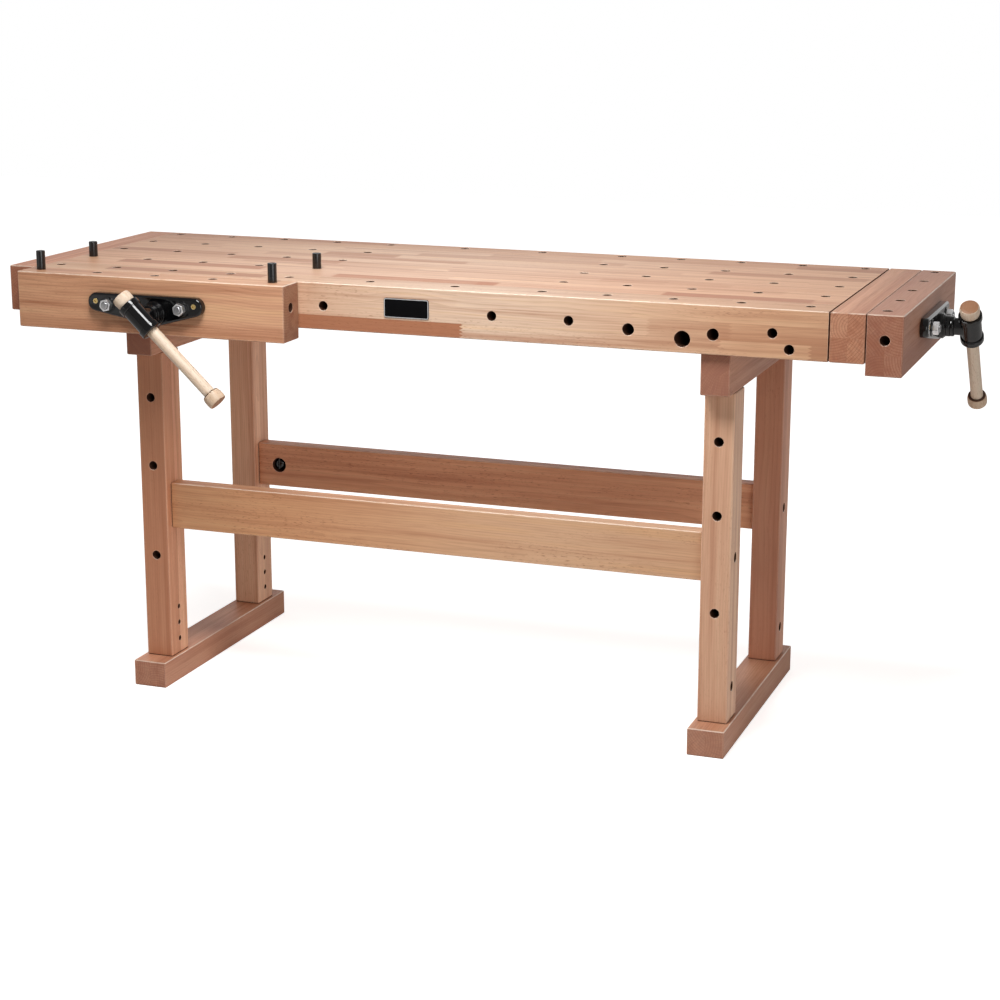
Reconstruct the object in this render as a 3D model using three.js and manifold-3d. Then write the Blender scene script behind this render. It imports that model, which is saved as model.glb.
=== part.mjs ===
// Woodworking bench with a front vise and a tail vise, in millimetres, +Z up.
// Built from the left end (x = 0), the front face (y = 0) and the floor (z = 0), then centred.
import * as THREE from 'three';
import { mergeVertices } from 'three/addons/utils/BufferGeometryUtils.js';
import Module from 'manifold-3d';

const wasm = await Module();
wasm.setup();

// Whole bench without its vises
const BENCH_LENGTH = 1809.5;
const BENCH_HEIGHT = 900;
const BENCH_DEPTH = 605;
const EDGE_EASE = 1.6;
const SEAM = 0.3;

// Top: a thin slab between two deep aprons, closed by two end caps
const SLAB_THICKNESS = 44;
const APRON_WIDTH = 85;
const APRON_HEIGHT = 94;
const END_CAP_WIDTH = 66;
const SHADOW_LINE = 2.5;
const TONGUE_THICKNESS = 14;
const TONGUE_DEPTH = 14;
const TONGUE_SHOULDER = 20;

// Dog holes: two groups of columns with wider steps between them, in rows from front to back
const DOG_HOLE_DIAMETER = 19;
const DOG_GROUP_COLUMNS = 5;
const DOG_SHORT_COLUMNS = 2;
const DOG_WIDE_PITCH = 182;
const DOG_LEFT_MARGIN = 28;
const DOG_RIGHT_MARGIN = 45;
const DOG_ROWS = 5;
const DOG_FRONT_MARGIN = 51;
const DOG_BACK_MARGIN = 24;

// Peg holes in the front apron, from its left end, its middle or its right end
const PEG_HOLE_DEPTH = 60;
const PEG_DROP = 46;
const PEG_FROM_LEFT = 655;
const PEG_PAST_MIDDLE = 176;
const FAR_PEG_PAST_MIDDLE = 333.5;
const PEG_FROM_RIGHT = 105;
const LOW_PEG_FROM_RIGHT = 72.3;
const LOW_PEG_DROP = 75.4;
const SPARE_VISE_FROM_RIGHT = 301.5;
const SPARE_VISE_DEPTH = 70;

// Name plate on the front apron, left bare
const NAME_PLATE_FROM_LEFT = 835;
const NAME_PLATE_DROP = 41.5;
const NAME_PLATE_WIDTH = 95.5;
const NAME_PLATE_HEIGHT = 39;
const NAME_PLATE_CORNER = 5;
const NAME_PLATE_THICKNESS = 1.6;

// Trestles
const LEFT_OVERHANG = 292;
const RIGHT_OVERHANG = 284;
const FOOT_INSET = 7.5;
const FOOT_WIDTH = 75;
const FOOT_HEIGHT = 56;
const BEARER_INSET = 14;
const BEARER_WIDTH = 58;
const BEARER_HEIGHT = 82;
const LEG_WIDTH = 60;
const LEG_DEPTH = 74;
const LEG_SETBACK = 55;
const TENON_THICKNESS = 24;
const TENON_WIDTH = 50;
const TENON_LENGTH = 34;
const LEG_PEG_HEIGHTS = [282, 479, 626.5];
const LEG_PEG_DEPTH = 50;

// Stretchers, bolted to the legs, with a second set of bolt holes lower down
const STRETCHER_HEIGHT = 99;
const STRETCHER_THICKNESS = 36;
const STRETCHER_MIDDLE = 390;
const LOWER_BOLT_HEIGHT = 124;
const DOWEL_SPREAD = 36;
const DOWEL_DIAMETER = 10;
const DOWEL_LENGTH = 22;
const BOLT_DIAMETER = 10;
const BOLT_HEAD_DIAMETER = 17;
const BOLT_HEAD_LENGTH = 8;
const BOLT_SOCKET_WIDTH = 8;
const BOLT_SOCKET_DEPTH = 4;
const BOLT_SINK_DIAMETER = 20;
const BOLT_SINK_DEPTH = 16;
const BARREL_DIAMETER = 25;
const BARREL_POCKET_DIAMETER = 33;
const BARREL_INSET = 52;
const BARREL_SINK = 6;
const BARREL_SLOT_WIDTH = 4;
const BARREL_SLOT_DEPTH = 3;

// Bolts that hold the top to the bearers
const TOP_BOLT_BITE = 22;
const TOP_BOLT_DIAMETER = 10;
const TOP_BOLT_HEAD_WIDTH = 17;
const TOP_BOLT_HEAD_HEIGHT = 7;
const TOP_BOLT_SINK_DIAMETER = 26;
const TOP_BOLT_SINK_DEPTH = 9;

// Vise jaws
const FRONT_JAW_LENGTH = 605;
const FRONT_JAW_LEFT = 61;
const FRONT_JAW_DOG_MARGIN = 42;
const TAIL_JAW_GAP = 2.2;
const JAW_THICKNESS = 68;
const JAW_HEIGHT = 115;
const JAW_DOG_INSET = 28;
const JAW_DOG_WEB = 4;
const JAW_END_HOLE_DROP = 47.5;
const BLIND_FLOOR = 6;

// Vise rods and screw: the rods run close under the slab, the screw lower and to one side
const VISE_TRAVEL = 150;
const ROD_DIAMETER = 20;
const ROD_SPACING = 166;
const ROD_ROOM = 1.5;
const ROD_SPARE = 8;
const ROD_HOLE_DIAMETER = 23;
const STUD_DIAMETER = 14;
const STUD_TIP = 3;
const ROD_NUT_WIDTH = 22;
const ROD_NUT_HEIGHT = 12;
const SCREW_OFFSET = 23.5;
const SCREW_BELOW_RODS = 12;
const SCREW_DIAMETER = 24;
const SCREW_SPARE = 18;
const SCREW_POINT = 3;
const SCREW_PLAY = 0.6;
const SCREW_HOLE_DIAMETER = 31;
const COLLAR_DIAMETER = 40;
const COLLAR_LENGTH = 10;
const COLLAR_ROOM = 2;

// Outer casting: a bar with round ends that swells into a boss round the screw
const CASTING_PAST_RODS = 47;
const CASTING_THICKNESS = 16;
const CASTING_ABOVE_RODS = 23;
const CASTING_END_RADIUS = 19;
const CASTING_BOSS_RADIUS = 26.5;
const CASTING_BEVEL = 5;
const BOSS_HEIGHT = 20;
const BOSS_FOOT_RADIUS = 25;
const BOSS_TOP_RADIUS = 20.5;
const BOSS_STEP = 7;
const BOSS_EDGE = 1.5;
const ROD_PAD_RADIUS = 16.5;
const ROD_PAD_HEIGHT = 1.5;

// Inner casting behind the apron or the cap: the screw's nut and the rods' guides
const NUT_CASTING_PAST_RODS = 20;
const NUT_CASTING_THICKNESS = 22;
const NUT_CASTING_END_RADIUS = 16;
const NUT_CASTING_BOSS_RADIUS = 24;
const NUT_CASTING_ROOM = 1;

// Tee hub and wooden handle
const HUB_LENGTH = 73;
const HUB_DIAMETER = 41;
const HUB_RIM_DIAMETER = 46;
const HUB_RIM_LENGTH = 12;
const HUB_EDGE = 1.5;
const HUB_STEM_DIAMETER = 34;
const HUB_STEM_LENGTH = 18.5;
const HUB_FLARE_DIAMETER = 40;
const HUB_FLARE_LENGTH = 6;
const SCREW_SOCKET_FLOOR = 4;
const HANDLE_LENGTH = 294;
const HANDLE_DIAMETER = 24.5;
const HANDLE_PLAY = 0.75;
const KNOB_DIAMETER = 39.5;
const KNOB_LENGTH = 24;
const KNOB_ROUND = 4;
const KNOB_SHOULDER = 2;
const KNOB_PEG_DIAMETER = 14;
const KNOB_PEG_LENGTH = 18;
const BUFFER_STEP = 2.5;
const BUFFER_THICKNESS = 1.2;
const FRONT_HANDLE_TILT = 46.5;
const TAIL_HANDLE_TILT = 40;

// Bench dogs
const DOG_PLAY = 0.3;
const DOG_LENGTH = 110;
const DOG_CHAMFER = 1.2;
const JAW_DOG_RISE = 39;
const TOP_DOG_RISE = 32;

// Facets round a dog hole, a bolt or dowel, and a turned piece or its bore
const DOG_SIDES = 12;
const BOLT_SIDES = 8;
const ROUND_SIDES = 14;
const OUTLINE_SEGMENTS = 4;
const CORNER_SEGMENTS = 2;
const OVERRUN = 1;
const WELD = 1e-4;
const QUARTER_ROUND_MIDDLE = 1 - Math.SQRT1_2;

// Levels and places that follow from the sizes above
const apronBottom = BENCH_HEIGHT - APRON_HEIGHT;
const slabBottom = BENCH_HEIGHT - SLAB_THICKNESS;
const bearerBottom = apronBottom - BEARER_HEIGHT;
const bodyStart = END_CAP_WIDTH;
const capEnd = BENCH_LENGTH;
const capStart = capEnd - END_CAP_WIDTH;
const bodyEnd = capStart - SHADOW_LINE;
const bodyMiddle = (bodyStart + bodyEnd) / 2;
const trestles = [LEFT_OVERHANG, capEnd - RIGHT_OVERHANG];
const legMiddles = [LEG_SETBACK + LEG_DEPTH / 2, BENCH_DEPTH - LEG_SETBACK - LEG_DEPTH / 2];
const topBoltInset = (BEARER_INSET + LEG_SETBACK) / 2;
const topBoltRows = [topBoltInset, BENCH_DEPTH - topBoltInset];
const tongueLow = slabBottom + (SLAB_THICKNESS - TONGUE_THICKNESS) / 2;
const tongueHigh = tongueLow + TONGUE_THICKNESS;
const rodDrop = SLAB_THICKNESS + ROD_ROOM + ROD_DIAMETER / 2;
const screwDrop = rodDrop + SCREW_BELOW_RODS;
const rodLevel = BENCH_HEIGHT - rodDrop;
const screwLevel = BENCH_HEIGHT - screwDrop;
const hubReach = CASTING_THICKNESS + BOSS_HEIGHT + HUB_STEM_LENGTH + HUB_DIAMETER / 2;
const hubBore = HANDLE_DIAMETER + 2 * HANDLE_PLAY;
const rodBore = ROD_DIAMETER + 2 * SEAM;
const screwBore = SCREW_DIAMETER + 2 * SCREW_PLAY;
const castingLength = ROD_SPACING + 2 * CASTING_PAST_RODS;
const nutCastingLength = ROD_SPACING + 2 * NUT_CASTING_PAST_RODS;
const screwFit = SCREW_DIAMETER + 2 * SEAM;

const beech = () => new THREE.MeshStandardMaterial({ color: 0xc58f68, roughness: 0.55, metalness: 0 });
const paleBeech = () => new THREE.MeshStandardMaterial({ color: 0xe3c6a0, roughness: 0.5, metalness: 0 });
const blackIron = () => new THREE.MeshStandardMaterial({ color: 0x111113, roughness: 0.3, metalness: 0.3 });
const steel = () => new THREE.MeshStandardMaterial({ color: 0xb9bbc0, roughness: 0.3, metalness: 1 });
const rubber = () => new THREE.MeshStandardMaterial({ color: 0x24170f, roughness: 0.8, metalness: 0 });

const bench = new THREE.Group();
bench.name = 'workbench';

function add(name, geometry, material) {
  const mesh = new THREE.Mesh(surface(solid(geometry)), material);
  mesh.name = name;
  bench.add(mesh);
}

// Joining and cutting
function solid(geometry) {
  const bare = geometry.clone();
  bare.deleteAttribute('normal');
  bare.deleteAttribute('uv');
  const merged = mergeVertices(bare, WELD);
  return new wasm.Manifold(new wasm.Mesh({
    numProp: 3,
    vertProperties: new Float32Array(merged.attributes.position.array),
    triVerts: new Uint32Array(merged.index.array),
  }));
}

function surface(manifold) {
  const mesh = manifold.getMesh();
  const geometry = new THREE.BufferGeometry();
  geometry.setAttribute('position', new THREE.BufferAttribute(new Float32Array(mesh.vertProperties), 3));
  geometry.setIndex(new THREE.BufferAttribute(new Uint32Array(mesh.triVerts), 1));
  const faceted = geometry.toNonIndexed();
  faceted.computeVertexNormals();
  return faceted;
}

function cut(body, tools) {
  return surface(tools.reduce((left, tool) => left.subtract(solid(tool)), solid(body)));
}

function join(body, others) {
  return surface(others.reduce((sum, other) => sum.add(solid(other)), solid(body)));
}

// A box with sharp edges between two opposite corners, for tongues, grooves, mortises and slots
function box(corner, opposite) {
  const low = corner.map((value, axis) => Math.min(value, opposite[axis]));
  const size = corner.map((value, axis) => Math.abs(value - opposite[axis]));
  const geometry = new THREE.BoxGeometry(...size);
  return geometry.translate(...low.map((value, axis) => value + size[axis] / 2));
}

// A block between two opposite corners with all its edges eased
function block(corner, opposite) {
  const low = corner.map((value, axis) => Math.min(value, opposite[axis]));
  const [width, depth, height] = corner.map((value, axis) => Math.abs(value - opposite[axis]));
  const outline = new THREE.Shape();
  outline.moveTo(EDGE_EASE, 0);
  outline.lineTo(width - EDGE_EASE, 0);
  outline.lineTo(width, EDGE_EASE);
  outline.lineTo(width, depth - EDGE_EASE);
  outline.lineTo(width - EDGE_EASE, depth);
  outline.lineTo(EDGE_EASE, depth);
  outline.lineTo(0, depth - EDGE_EASE);
  outline.lineTo(0, EDGE_EASE);
  outline.closePath();
  const geometry = new THREE.ExtrudeGeometry(outline, {
    depth: height - 2 * EDGE_EASE,
    bevelThickness: EDGE_EASE,
    bevelSize: EDGE_EASE,
    bevelOffset: -EDGE_EASE,
    bevelSegments: 1,
  });
  return geometry.translate(low[0], low[1], low[2] + EDGE_EASE);
}

// A block whose marked faces keep square edges: it is made too long there and cut back.
// squareLow and squareHigh hold a 1 for each axis on which that face is square, else a 0.
function squaredBlock(corner, opposite, squareLow, squareHigh) {
  const low = corner.map((value, axis) => Math.min(value, opposite[axis]));
  const high = corner.map((value, axis) => Math.max(value, opposite[axis]));
  const tooLong = block(
    low.map((value, axis) => value - 2 * EDGE_EASE * squareLow[axis]),
    high.map((value, axis) => value + 2 * EDGE_EASE * squareHigh[axis]),
  );
  const limit = box(
    low.map((value, axis) => value - OVERRUN * (1 - squareLow[axis])),
    high.map((value, axis) => value + OVERRUN * (1 - squareHigh[axis])),
  );
  return surface(solid(tooLong).intersect(solid(limit)));
}

// A profile of [radius, distance] turned about a line from a point along a direction
function turned(profile, from, direction, sides = ROUND_SIDES) {
  const points = profile.map(([radius, along]) => new THREE.Vector2(radius, along));
  const geometry = new THREE.LatheGeometry(points, sides);
  const axis = new THREE.Vector3(...direction).normalize();
  geometry.applyQuaternion(new THREE.Quaternion().setFromUnitVectors(new THREE.Vector3(0, 1, 0), axis));
  return geometry.translate(...from);
}

// A round bar from one point to another
function bar(from, to, diameter, sides) {
  const run = new THREE.Vector3(...to).sub(new THREE.Vector3(...from));
  const radius = diameter / 2;
  const length = run.length();
  return turned([[0, 0], [radius, 0], [radius, length], [0, length]], from, run.toArray(), sides);
}

function ring(from, direction, outer, inner, length) {
  const profile = [[inner / 2, 0], [outer / 2, 0], [outer / 2, length], [inner / 2, length], [inner / 2, 0]];
  return turned(profile, from, direction);
}

// A hexagonal prism of one width across its flats, from a point along a direction
function hexPrism(from, direction, width, length) {
  const outline = new THREE.Shape();
  const radius = width / Math.sqrt(3);
  for (let corner = 0; corner < 6; corner += 1) {
    const angle = (corner * Math.PI) / 3;
    outline.lineTo(radius * Math.cos(angle), radius * Math.sin(angle));
  }
  outline.closePath();
  const geometry = new THREE.ExtrudeGeometry(outline, { depth: length, bevelEnabled: false });
  const axis = new THREE.Vector3(...direction).normalize();
  geometry.applyQuaternion(new THREE.Quaternion().setFromUnitVectors(new THREE.Vector3(0, 0, 1), axis));
  return geometry.translate(...from);
}

// Dog holes of the top, the left ones in line with those of the front jaw. Short columns have only the front
// and the back hole.
const firstColumn = bodyStart + DOG_LEFT_MARGIN;
const lastColumn = bodyEnd - DOG_RIGHT_MARGIN;
const groupEnd = FRONT_JAW_LEFT + FRONT_JAW_LENGTH - FRONT_JAW_DOG_MARGIN;
const dogPitch = (groupEnd - firstColumn) / (DOG_GROUP_COLUMNS - 1);
const farGroupStart = lastColumn - (groupEnd - firstColumn);
const rowPitch = (BENCH_DEPTH - DOG_FRONT_MARGIN - DOG_BACK_MARGIN) / (DOG_ROWS - 1);
const dogRow = (row) => DOG_FRONT_MARGIN + row * rowPitch;

const dogColumns = [];
for (let column = 0; column < DOG_GROUP_COLUMNS; column += 1) {
  dogColumns.push({ x: firstColumn + column * dogPitch, short: false });
  dogColumns.push({ x: lastColumn - column * dogPitch, short: false });
}
for (let step = 1; step <= DOG_SHORT_COLUMNS; step += 1) {
  dogColumns.push({ x: farGroupStart - step * DOG_WIDE_PITCH, short: true });
}

function dogHolesOfRow(row, depth) {
  const edgeRow = row === 0 || row === DOG_ROWS - 1;
  const y = dogRow(row);
  return dogColumns
    .filter(({ short }) => edgeRow || !short)
    .map(({ x }) => bar(
      [x, y, BENCH_HEIGHT - depth - OVERRUN],
      [x, y, BENCH_HEIGHT + OVERRUN],
      DOG_HOLE_DIAMETER,
      DOG_SIDES,
    ));
}

// Each vise's own frame: distance across from the middle of its rods, inward into the bench, and height
const frontMiddle = FRONT_JAW_LEFT + FRONT_JAW_LENGTH / 2;
const spareMiddle = bodyEnd - SPARE_VISE_FROM_RIGHT;
const tailMiddle = BENCH_DEPTH / 2;
const frontVise = (across, inward, z) => [frontMiddle + across, inward, z];
const spareVise = (across, inward, z) => [spareMiddle + across, inward, z];
const tailVise = (across, inward, z) => [capEnd - inward, tailMiddle + across, z];

// Holes for a vise's rods and screw through the piece that its jaw closes on
function viseHoles(place, depth) {
  const hole = (across, z, diameter) => bar(
    place(across, -OVERRUN, z),
    place(across, depth, z),
    diameter,
    ROUND_SIDES,
  );
  return [
    hole(-ROD_SPACING / 2, rodLevel, ROD_HOLE_DIAMETER),
    hole(ROD_SPACING / 2, rodLevel, ROD_HOLE_DIAMETER),
    hole(SCREW_OFFSET, screwLevel, SCREW_HOLE_DIAMETER),
  ];
}

// Top slab, with a tongue on each edge
function topSlab() {
  const front = APRON_WIDTH + SEAM;
  const back = BENCH_DEPTH - APRON_WIDTH - SEAM;
  const core = box([bodyStart + SEAM, front, slabBottom], [bodyEnd, back, BENCH_HEIGHT]);
  const endTongue = box(
    [bodyStart + SEAM - TONGUE_DEPTH, front + TONGUE_SHOULDER, tongueLow],
    [capStart + TONGUE_DEPTH - SEAM, back - TONGUE_SHOULDER, tongueHigh],
  );
  const sideTongue = box(
    [bodyStart + TONGUE_SHOULDER, front - TONGUE_DEPTH, tongueLow],
    [bodyEnd - TONGUE_SHOULDER, back + TONGUE_DEPTH, tongueHigh],
  );
  const holes = [];
  for (let row = 1; row < DOG_ROWS - 1; row += 1) {
    holes.push(...dogHolesOfRow(row, SLAB_THICKNESS));
  }
  return cut(join(core, [endTongue, sideTongue]), holes);
}

// An apron from its outer face to its inner face, with end tongues, a groove for the slab and bolt holes
function apron(outer, inner, boltRow) {
  const into = Math.sign(outer - inner);
  const beam = squaredBlock(
    [bodyStart + SEAM, outer, apronBottom],
    [bodyEnd, inner, BENCH_HEIGHT],
    [1, inner < outer ? 1 : 0, 0],
    [1, inner > outer ? 1 : 0, 0],
  );
  const tongue = box(
    [bodyStart + SEAM - TONGUE_DEPTH, outer - into * TONGUE_SHOULDER, tongueLow],
    [capStart + TONGUE_DEPTH - SEAM, inner + into * TONGUE_SHOULDER, tongueHigh],
  );
  const groove = box(
    [bodyStart + TONGUE_SHOULDER - SEAM, inner - into * OVERRUN, tongueLow - SEAM],
    [bodyEnd - TONGUE_SHOULDER + SEAM, inner + into * (TONGUE_DEPTH + SEAM), tongueHigh + SEAM],
  );
  const bolts = trestles.map((x) => bar(
    [x, boltRow, apronBottom - OVERRUN],
    [x, boltRow, apronBottom + TOP_BOLT_BITE + SEAM],
    TOP_BOLT_DIAMETER + 2 * SEAM,
    BOLT_SIDES,
  ));
  return cut(join(beam, [tongue]), [groove, ...bolts]);
}

function frontApron() {
  const pegs = [
    [bodyStart + PEG_FROM_LEFT, PEG_DROP],
    [bodyMiddle + PEG_PAST_MIDDLE, PEG_DROP],
    [bodyMiddle + FAR_PEG_PAST_MIDDLE, PEG_DROP],
    [bodyEnd - PEG_FROM_RIGHT, PEG_DROP],
    [bodyEnd - LOW_PEG_FROM_RIGHT, LOW_PEG_DROP],
  ].map(([x, drop]) => bar(
    [x, -OVERRUN, BENCH_HEIGHT - drop],
    [x, PEG_HOLE_DEPTH, BENCH_HEIGHT - drop],
    DOG_HOLE_DIAMETER,
    DOG_SIDES,
  ));
  return cut(apron(0, APRON_WIDTH, topBoltRows[0]), [
    ...dogHolesOfRow(0, APRON_HEIGHT),
    ...pegs,
    ...viseHoles(frontVise, APRON_WIDTH + OVERRUN),
    ...viseHoles(spareVise, SPARE_VISE_DEPTH),
  ]);
}

function rearApron() {
  const beam = apron(BENCH_DEPTH, BENCH_DEPTH - APRON_WIDTH, topBoltRows[1]);
  return cut(beam, dogHolesOfRow(DOG_ROWS - 1, APRON_HEIGHT));
}

// The stopped groove in an end cap that takes the tongues on the ends of the slab and the aprons
function capGroove(face, into) {
  const stop = TONGUE_SHOULDER - SEAM;
  return box(
    [face - into * OVERRUN, stop, tongueLow - SEAM],
    [face + into * (TONGUE_DEPTH + SEAM), BENCH_DEPTH - stop, tongueHigh + SEAM],
  );
}

function leftEndCap() {
  const outerEnd = [0, 0, apronBottom];
  const body = squaredBlock(outerEnd, [bodyStart, BENCH_DEPTH, BENCH_HEIGHT], [0, 0, 0], [1, 0, 0]);
  return cut(body, [capGroove(bodyStart, -1)]);
}

function rightEndCap() {
  const body = block([capStart, 0, apronBottom], [capEnd, BENCH_DEPTH, BENCH_HEIGHT]);
  return cut(body, [capGroove(capStart, 1), ...viseHoles(tailVise, END_CAP_WIDTH + OVERRUN)]);
}

function namePlate() {
  const outline = new THREE.Shape();
  const corners = [[-1, -1], [1, -1], [1, 1], [-1, 1]];
  corners.forEach(([sideX, sideY], corner) => {
    const start = Math.PI + (corner * Math.PI) / 2;
    const x = sideX * (NAME_PLATE_WIDTH / 2 - NAME_PLATE_CORNER);
    const y = sideY * (NAME_PLATE_HEIGHT / 2 - NAME_PLATE_CORNER);
    outline.absarc(x, y, NAME_PLATE_CORNER, start, start + Math.PI / 2, false);
  });
  outline.closePath();
  const geometry = new THREE.ExtrudeGeometry(outline, {
    depth: NAME_PLATE_THICKNESS,
    bevelEnabled: false,
    curveSegments: CORNER_SEGMENTS,
  });
  geometry.rotateX(Math.PI / 2);
  return geometry.translate(bodyStart + NAME_PLATE_FROM_LEFT, -SEAM, BENCH_HEIGHT - NAME_PLATE_DROP);
}

// Trestles
function mortise(x, y, low, high) {
  const halfThickness = TENON_THICKNESS / 2 + SEAM;
  const halfWidth = TENON_WIDTH / 2 + SEAM;
  return box([x - halfThickness, y - halfWidth, low], [x + halfThickness, y + halfWidth, high]);
}

function foot(x) {
  const body = block(
    [x - FOOT_WIDTH / 2, FOOT_INSET, 0],
    [x + FOOT_WIDTH / 2, BENCH_DEPTH - FOOT_INSET, FOOT_HEIGHT],
  );
  const floor = FOOT_HEIGHT - TENON_LENGTH - SEAM;
  return cut(body, legMiddles.map((y) => mortise(x, y, floor, FOOT_HEIGHT + OVERRUN)));
}

function bearer(x) {
  const body = block(
    [x - BEARER_WIDTH / 2, BEARER_INSET, bearerBottom],
    [x + BEARER_WIDTH / 2, BENCH_DEPTH - BEARER_INSET, apronBottom - SEAM],
  );
  const ceiling = bearerBottom + TENON_LENGTH + SEAM;
  const mortises = legMiddles.map((y) => mortise(x, y, bearerBottom - OVERRUN, ceiling));
  const bolts = topBoltRows.flatMap((y) => {
    const mouth = [x, y, bearerBottom - OVERRUN];
    return [
      bar(mouth, [x, y, apronBottom + OVERRUN], TOP_BOLT_DIAMETER + 2 * SEAM, BOLT_SIDES),
      bar(mouth, [x, y, bearerBottom + TOP_BOLT_SINK_DEPTH], TOP_BOLT_SINK_DIAMETER, BOLT_SIDES),
    ];
  });
  return cut(body, [...mortises, ...bolts]);
}

// outward is -1 on the left trestle and 1 on the right one: the side where the bolt heads are
function leg(x, y, outward, isFront) {
  const post = block(
    [x - LEG_WIDTH / 2, y - LEG_DEPTH / 2, FOOT_HEIGHT + SEAM],
    [x + LEG_WIDTH / 2, y + LEG_DEPTH / 2, bearerBottom - SEAM],
  );
  const tenon = box(
    [x - TENON_THICKNESS / 2, y - TENON_WIDTH / 2, FOOT_HEIGHT - TENON_LENGTH],
    [x + TENON_THICKNESS / 2, y + TENON_WIDTH / 2, bearerBottom + TENON_LENGTH],
  );
  const outer = x + (outward * LEG_WIDTH) / 2;
  const inner = x - (outward * LEG_WIDTH) / 2;
  const holes = [STRETCHER_MIDDLE, LOWER_BOLT_HEIGHT].flatMap((z) => {
    const mouth = [outer + outward * OVERRUN, y, z];
    const dowels = [z - DOWEL_SPREAD, z + DOWEL_SPREAD].map((level) => bar(
      [inner - outward * OVERRUN, y, level],
      [inner + outward * (DOWEL_LENGTH + SEAM), y, level],
      DOWEL_DIAMETER + 2 * SEAM,
      BOLT_SIDES,
    ));
    return [
      bar(mouth, [inner - outward * OVERRUN, y, z], BOLT_DIAMETER + 2 * SEAM, BOLT_SIDES),
      bar(mouth, [outer - outward * BOLT_SINK_DEPTH, y, z], BOLT_SINK_DIAMETER, DOG_SIDES),
      ...dowels,
    ];
  });
  const face = y - LEG_DEPTH / 2;
  const pegs = LEG_PEG_HEIGHTS.filter(() => isFront).map((z) => bar(
    [x, face - OVERRUN, z],
    [x, face + LEG_PEG_DEPTH, z],
    DOG_HOLE_DIAMETER,
    DOG_SIDES,
  ));
  return cut(join(post, [tenon]), [...holes, ...pegs]);
}

// inside is the direction from the stretcher to the middle of the bench, along y
function stretcher(y, inside) {
  const z = STRETCHER_MIDDLE;
  const start = trestles[0] + LEG_WIDTH / 2 + SEAM;
  const end = trestles[1] - LEG_WIDTH / 2 - SEAM;
  const body = block(
    [start, y - STRETCHER_THICKNESS / 2, z - STRETCHER_HEIGHT / 2],
    [end, y + STRETCHER_THICKNESS / 2, z + STRETCHER_HEIGHT / 2],
  );
  const dowels = [z - DOWEL_SPREAD, z + DOWEL_SPREAD].map((level) => bar(
    [start - DOWEL_LENGTH, y, level],
    [end + DOWEL_LENGTH, y, level],
    DOWEL_DIAMETER,
    BOLT_SIDES,
  ));
  const face = y + (inside * STRETCHER_THICKNESS) / 2;
  const floor = y - inside * (STRETCHER_THICKNESS / 2 - BARREL_SINK + SEAM);
  const holes = [[start, 1], [end, -1]].flatMap(([edge, along]) => {
    const x = edge + along * BARREL_INSET;
    return [
      bar([x, face + inside * OVERRUN, z], [x, floor, z], BARREL_POCKET_DIAMETER, ROUND_SIDES),
      bar([edge - along * OVERRUN, y, z], [x, y, z], BOLT_DIAMETER + 2 * SEAM, BOLT_SIDES),
    ];
  });
  return cut(join(body, dowels), holes);
}

// along is the direction from the leg to the nut, which bears on the leg's side of its pocket
function barrelNut(legFace, y, inside, along) {
  const z = STRETCHER_MIDDLE;
  const play = (BARREL_POCKET_DIAMETER - BARREL_DIAMETER) / 2 - SEAM;
  const x = legFace + along * (SEAM + BARREL_INSET - play);
  const half = STRETCHER_THICKNESS / 2 - BARREL_SINK;
  const face = y + inside * half;
  const body = bar([x, y - inside * half, z], [x, face, z], BARREL_DIAMETER, ROUND_SIDES);
  const thread = bar(
    [x - along * BARREL_DIAMETER, y, z],
    [x + along * (BOLT_DIAMETER / 2), y, z],
    BOLT_DIAMETER + 2 * SEAM,
    BOLT_SIDES,
  );
  const slot = box(
    [x - BARREL_SLOT_WIDTH / 2, face - inside * BARREL_SLOT_DEPTH, z - BARREL_DIAMETER],
    [x + BARREL_SLOT_WIDTH / 2, face + inside * OVERRUN, z + BARREL_DIAMETER],
  );
  return cut(body, [thread, slot]);
}

function stretcherBolt(x, y, outward) {
  const z = STRETCHER_MIDDLE;
  const inward = [-outward, 0, 0];
  const top = x + outward * (LEG_WIDTH / 2 - BOLT_SINK_DEPTH + BOLT_HEAD_LENGTH + SEAM);
  const length = BOLT_HEAD_LENGTH + LEG_WIDTH - BOLT_SINK_DEPTH + BARREL_INSET;
  const body = turned([
    [0, 0],
    [BOLT_HEAD_DIAMETER / 2, 0],
    [BOLT_HEAD_DIAMETER / 2, BOLT_HEAD_LENGTH],
    [BOLT_DIAMETER / 2, BOLT_HEAD_LENGTH],
    [BOLT_DIAMETER / 2, length],
    [0, length],
  ], [top, y, z], inward, BOLT_SIDES);
  const socket = hexPrism(
    [top + outward * OVERRUN, y, z],
    inward,
    BOLT_SOCKET_WIDTH,
    BOLT_SOCKET_DEPTH + OVERRUN,
  );
  return cut(body, [socket]);
}

function topBolt(x, y) {
  const seat = bearerBottom + TOP_BOLT_SINK_DEPTH - SEAM;
  const under = seat - TOP_BOLT_HEAD_HEIGHT;
  const head = hexPrism([x, y, under], [0, 0, 1], TOP_BOLT_HEAD_WIDTH, TOP_BOLT_HEAD_HEIGHT);
  const middle = under + TOP_BOLT_HEAD_HEIGHT / 2;
  const shank = bar([x, y, middle], [x, y, apronBottom + TOP_BOLT_BITE], TOP_BOLT_DIAMETER, BOLT_SIDES);
  return join(head, [shank]);
}

// The angle at which a straight line under two circles touches both of them
function lowerTangent(first, firstRadius, second, secondRadius) {
  const run = new THREE.Vector2(second[0] - first[0], second[1] - first[1]);
  const lean = Math.asin((secondRadius - firstRadius) / run.length());
  return Math.atan2(run.y, run.x) - Math.PI / 2 - lean;
}

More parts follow.
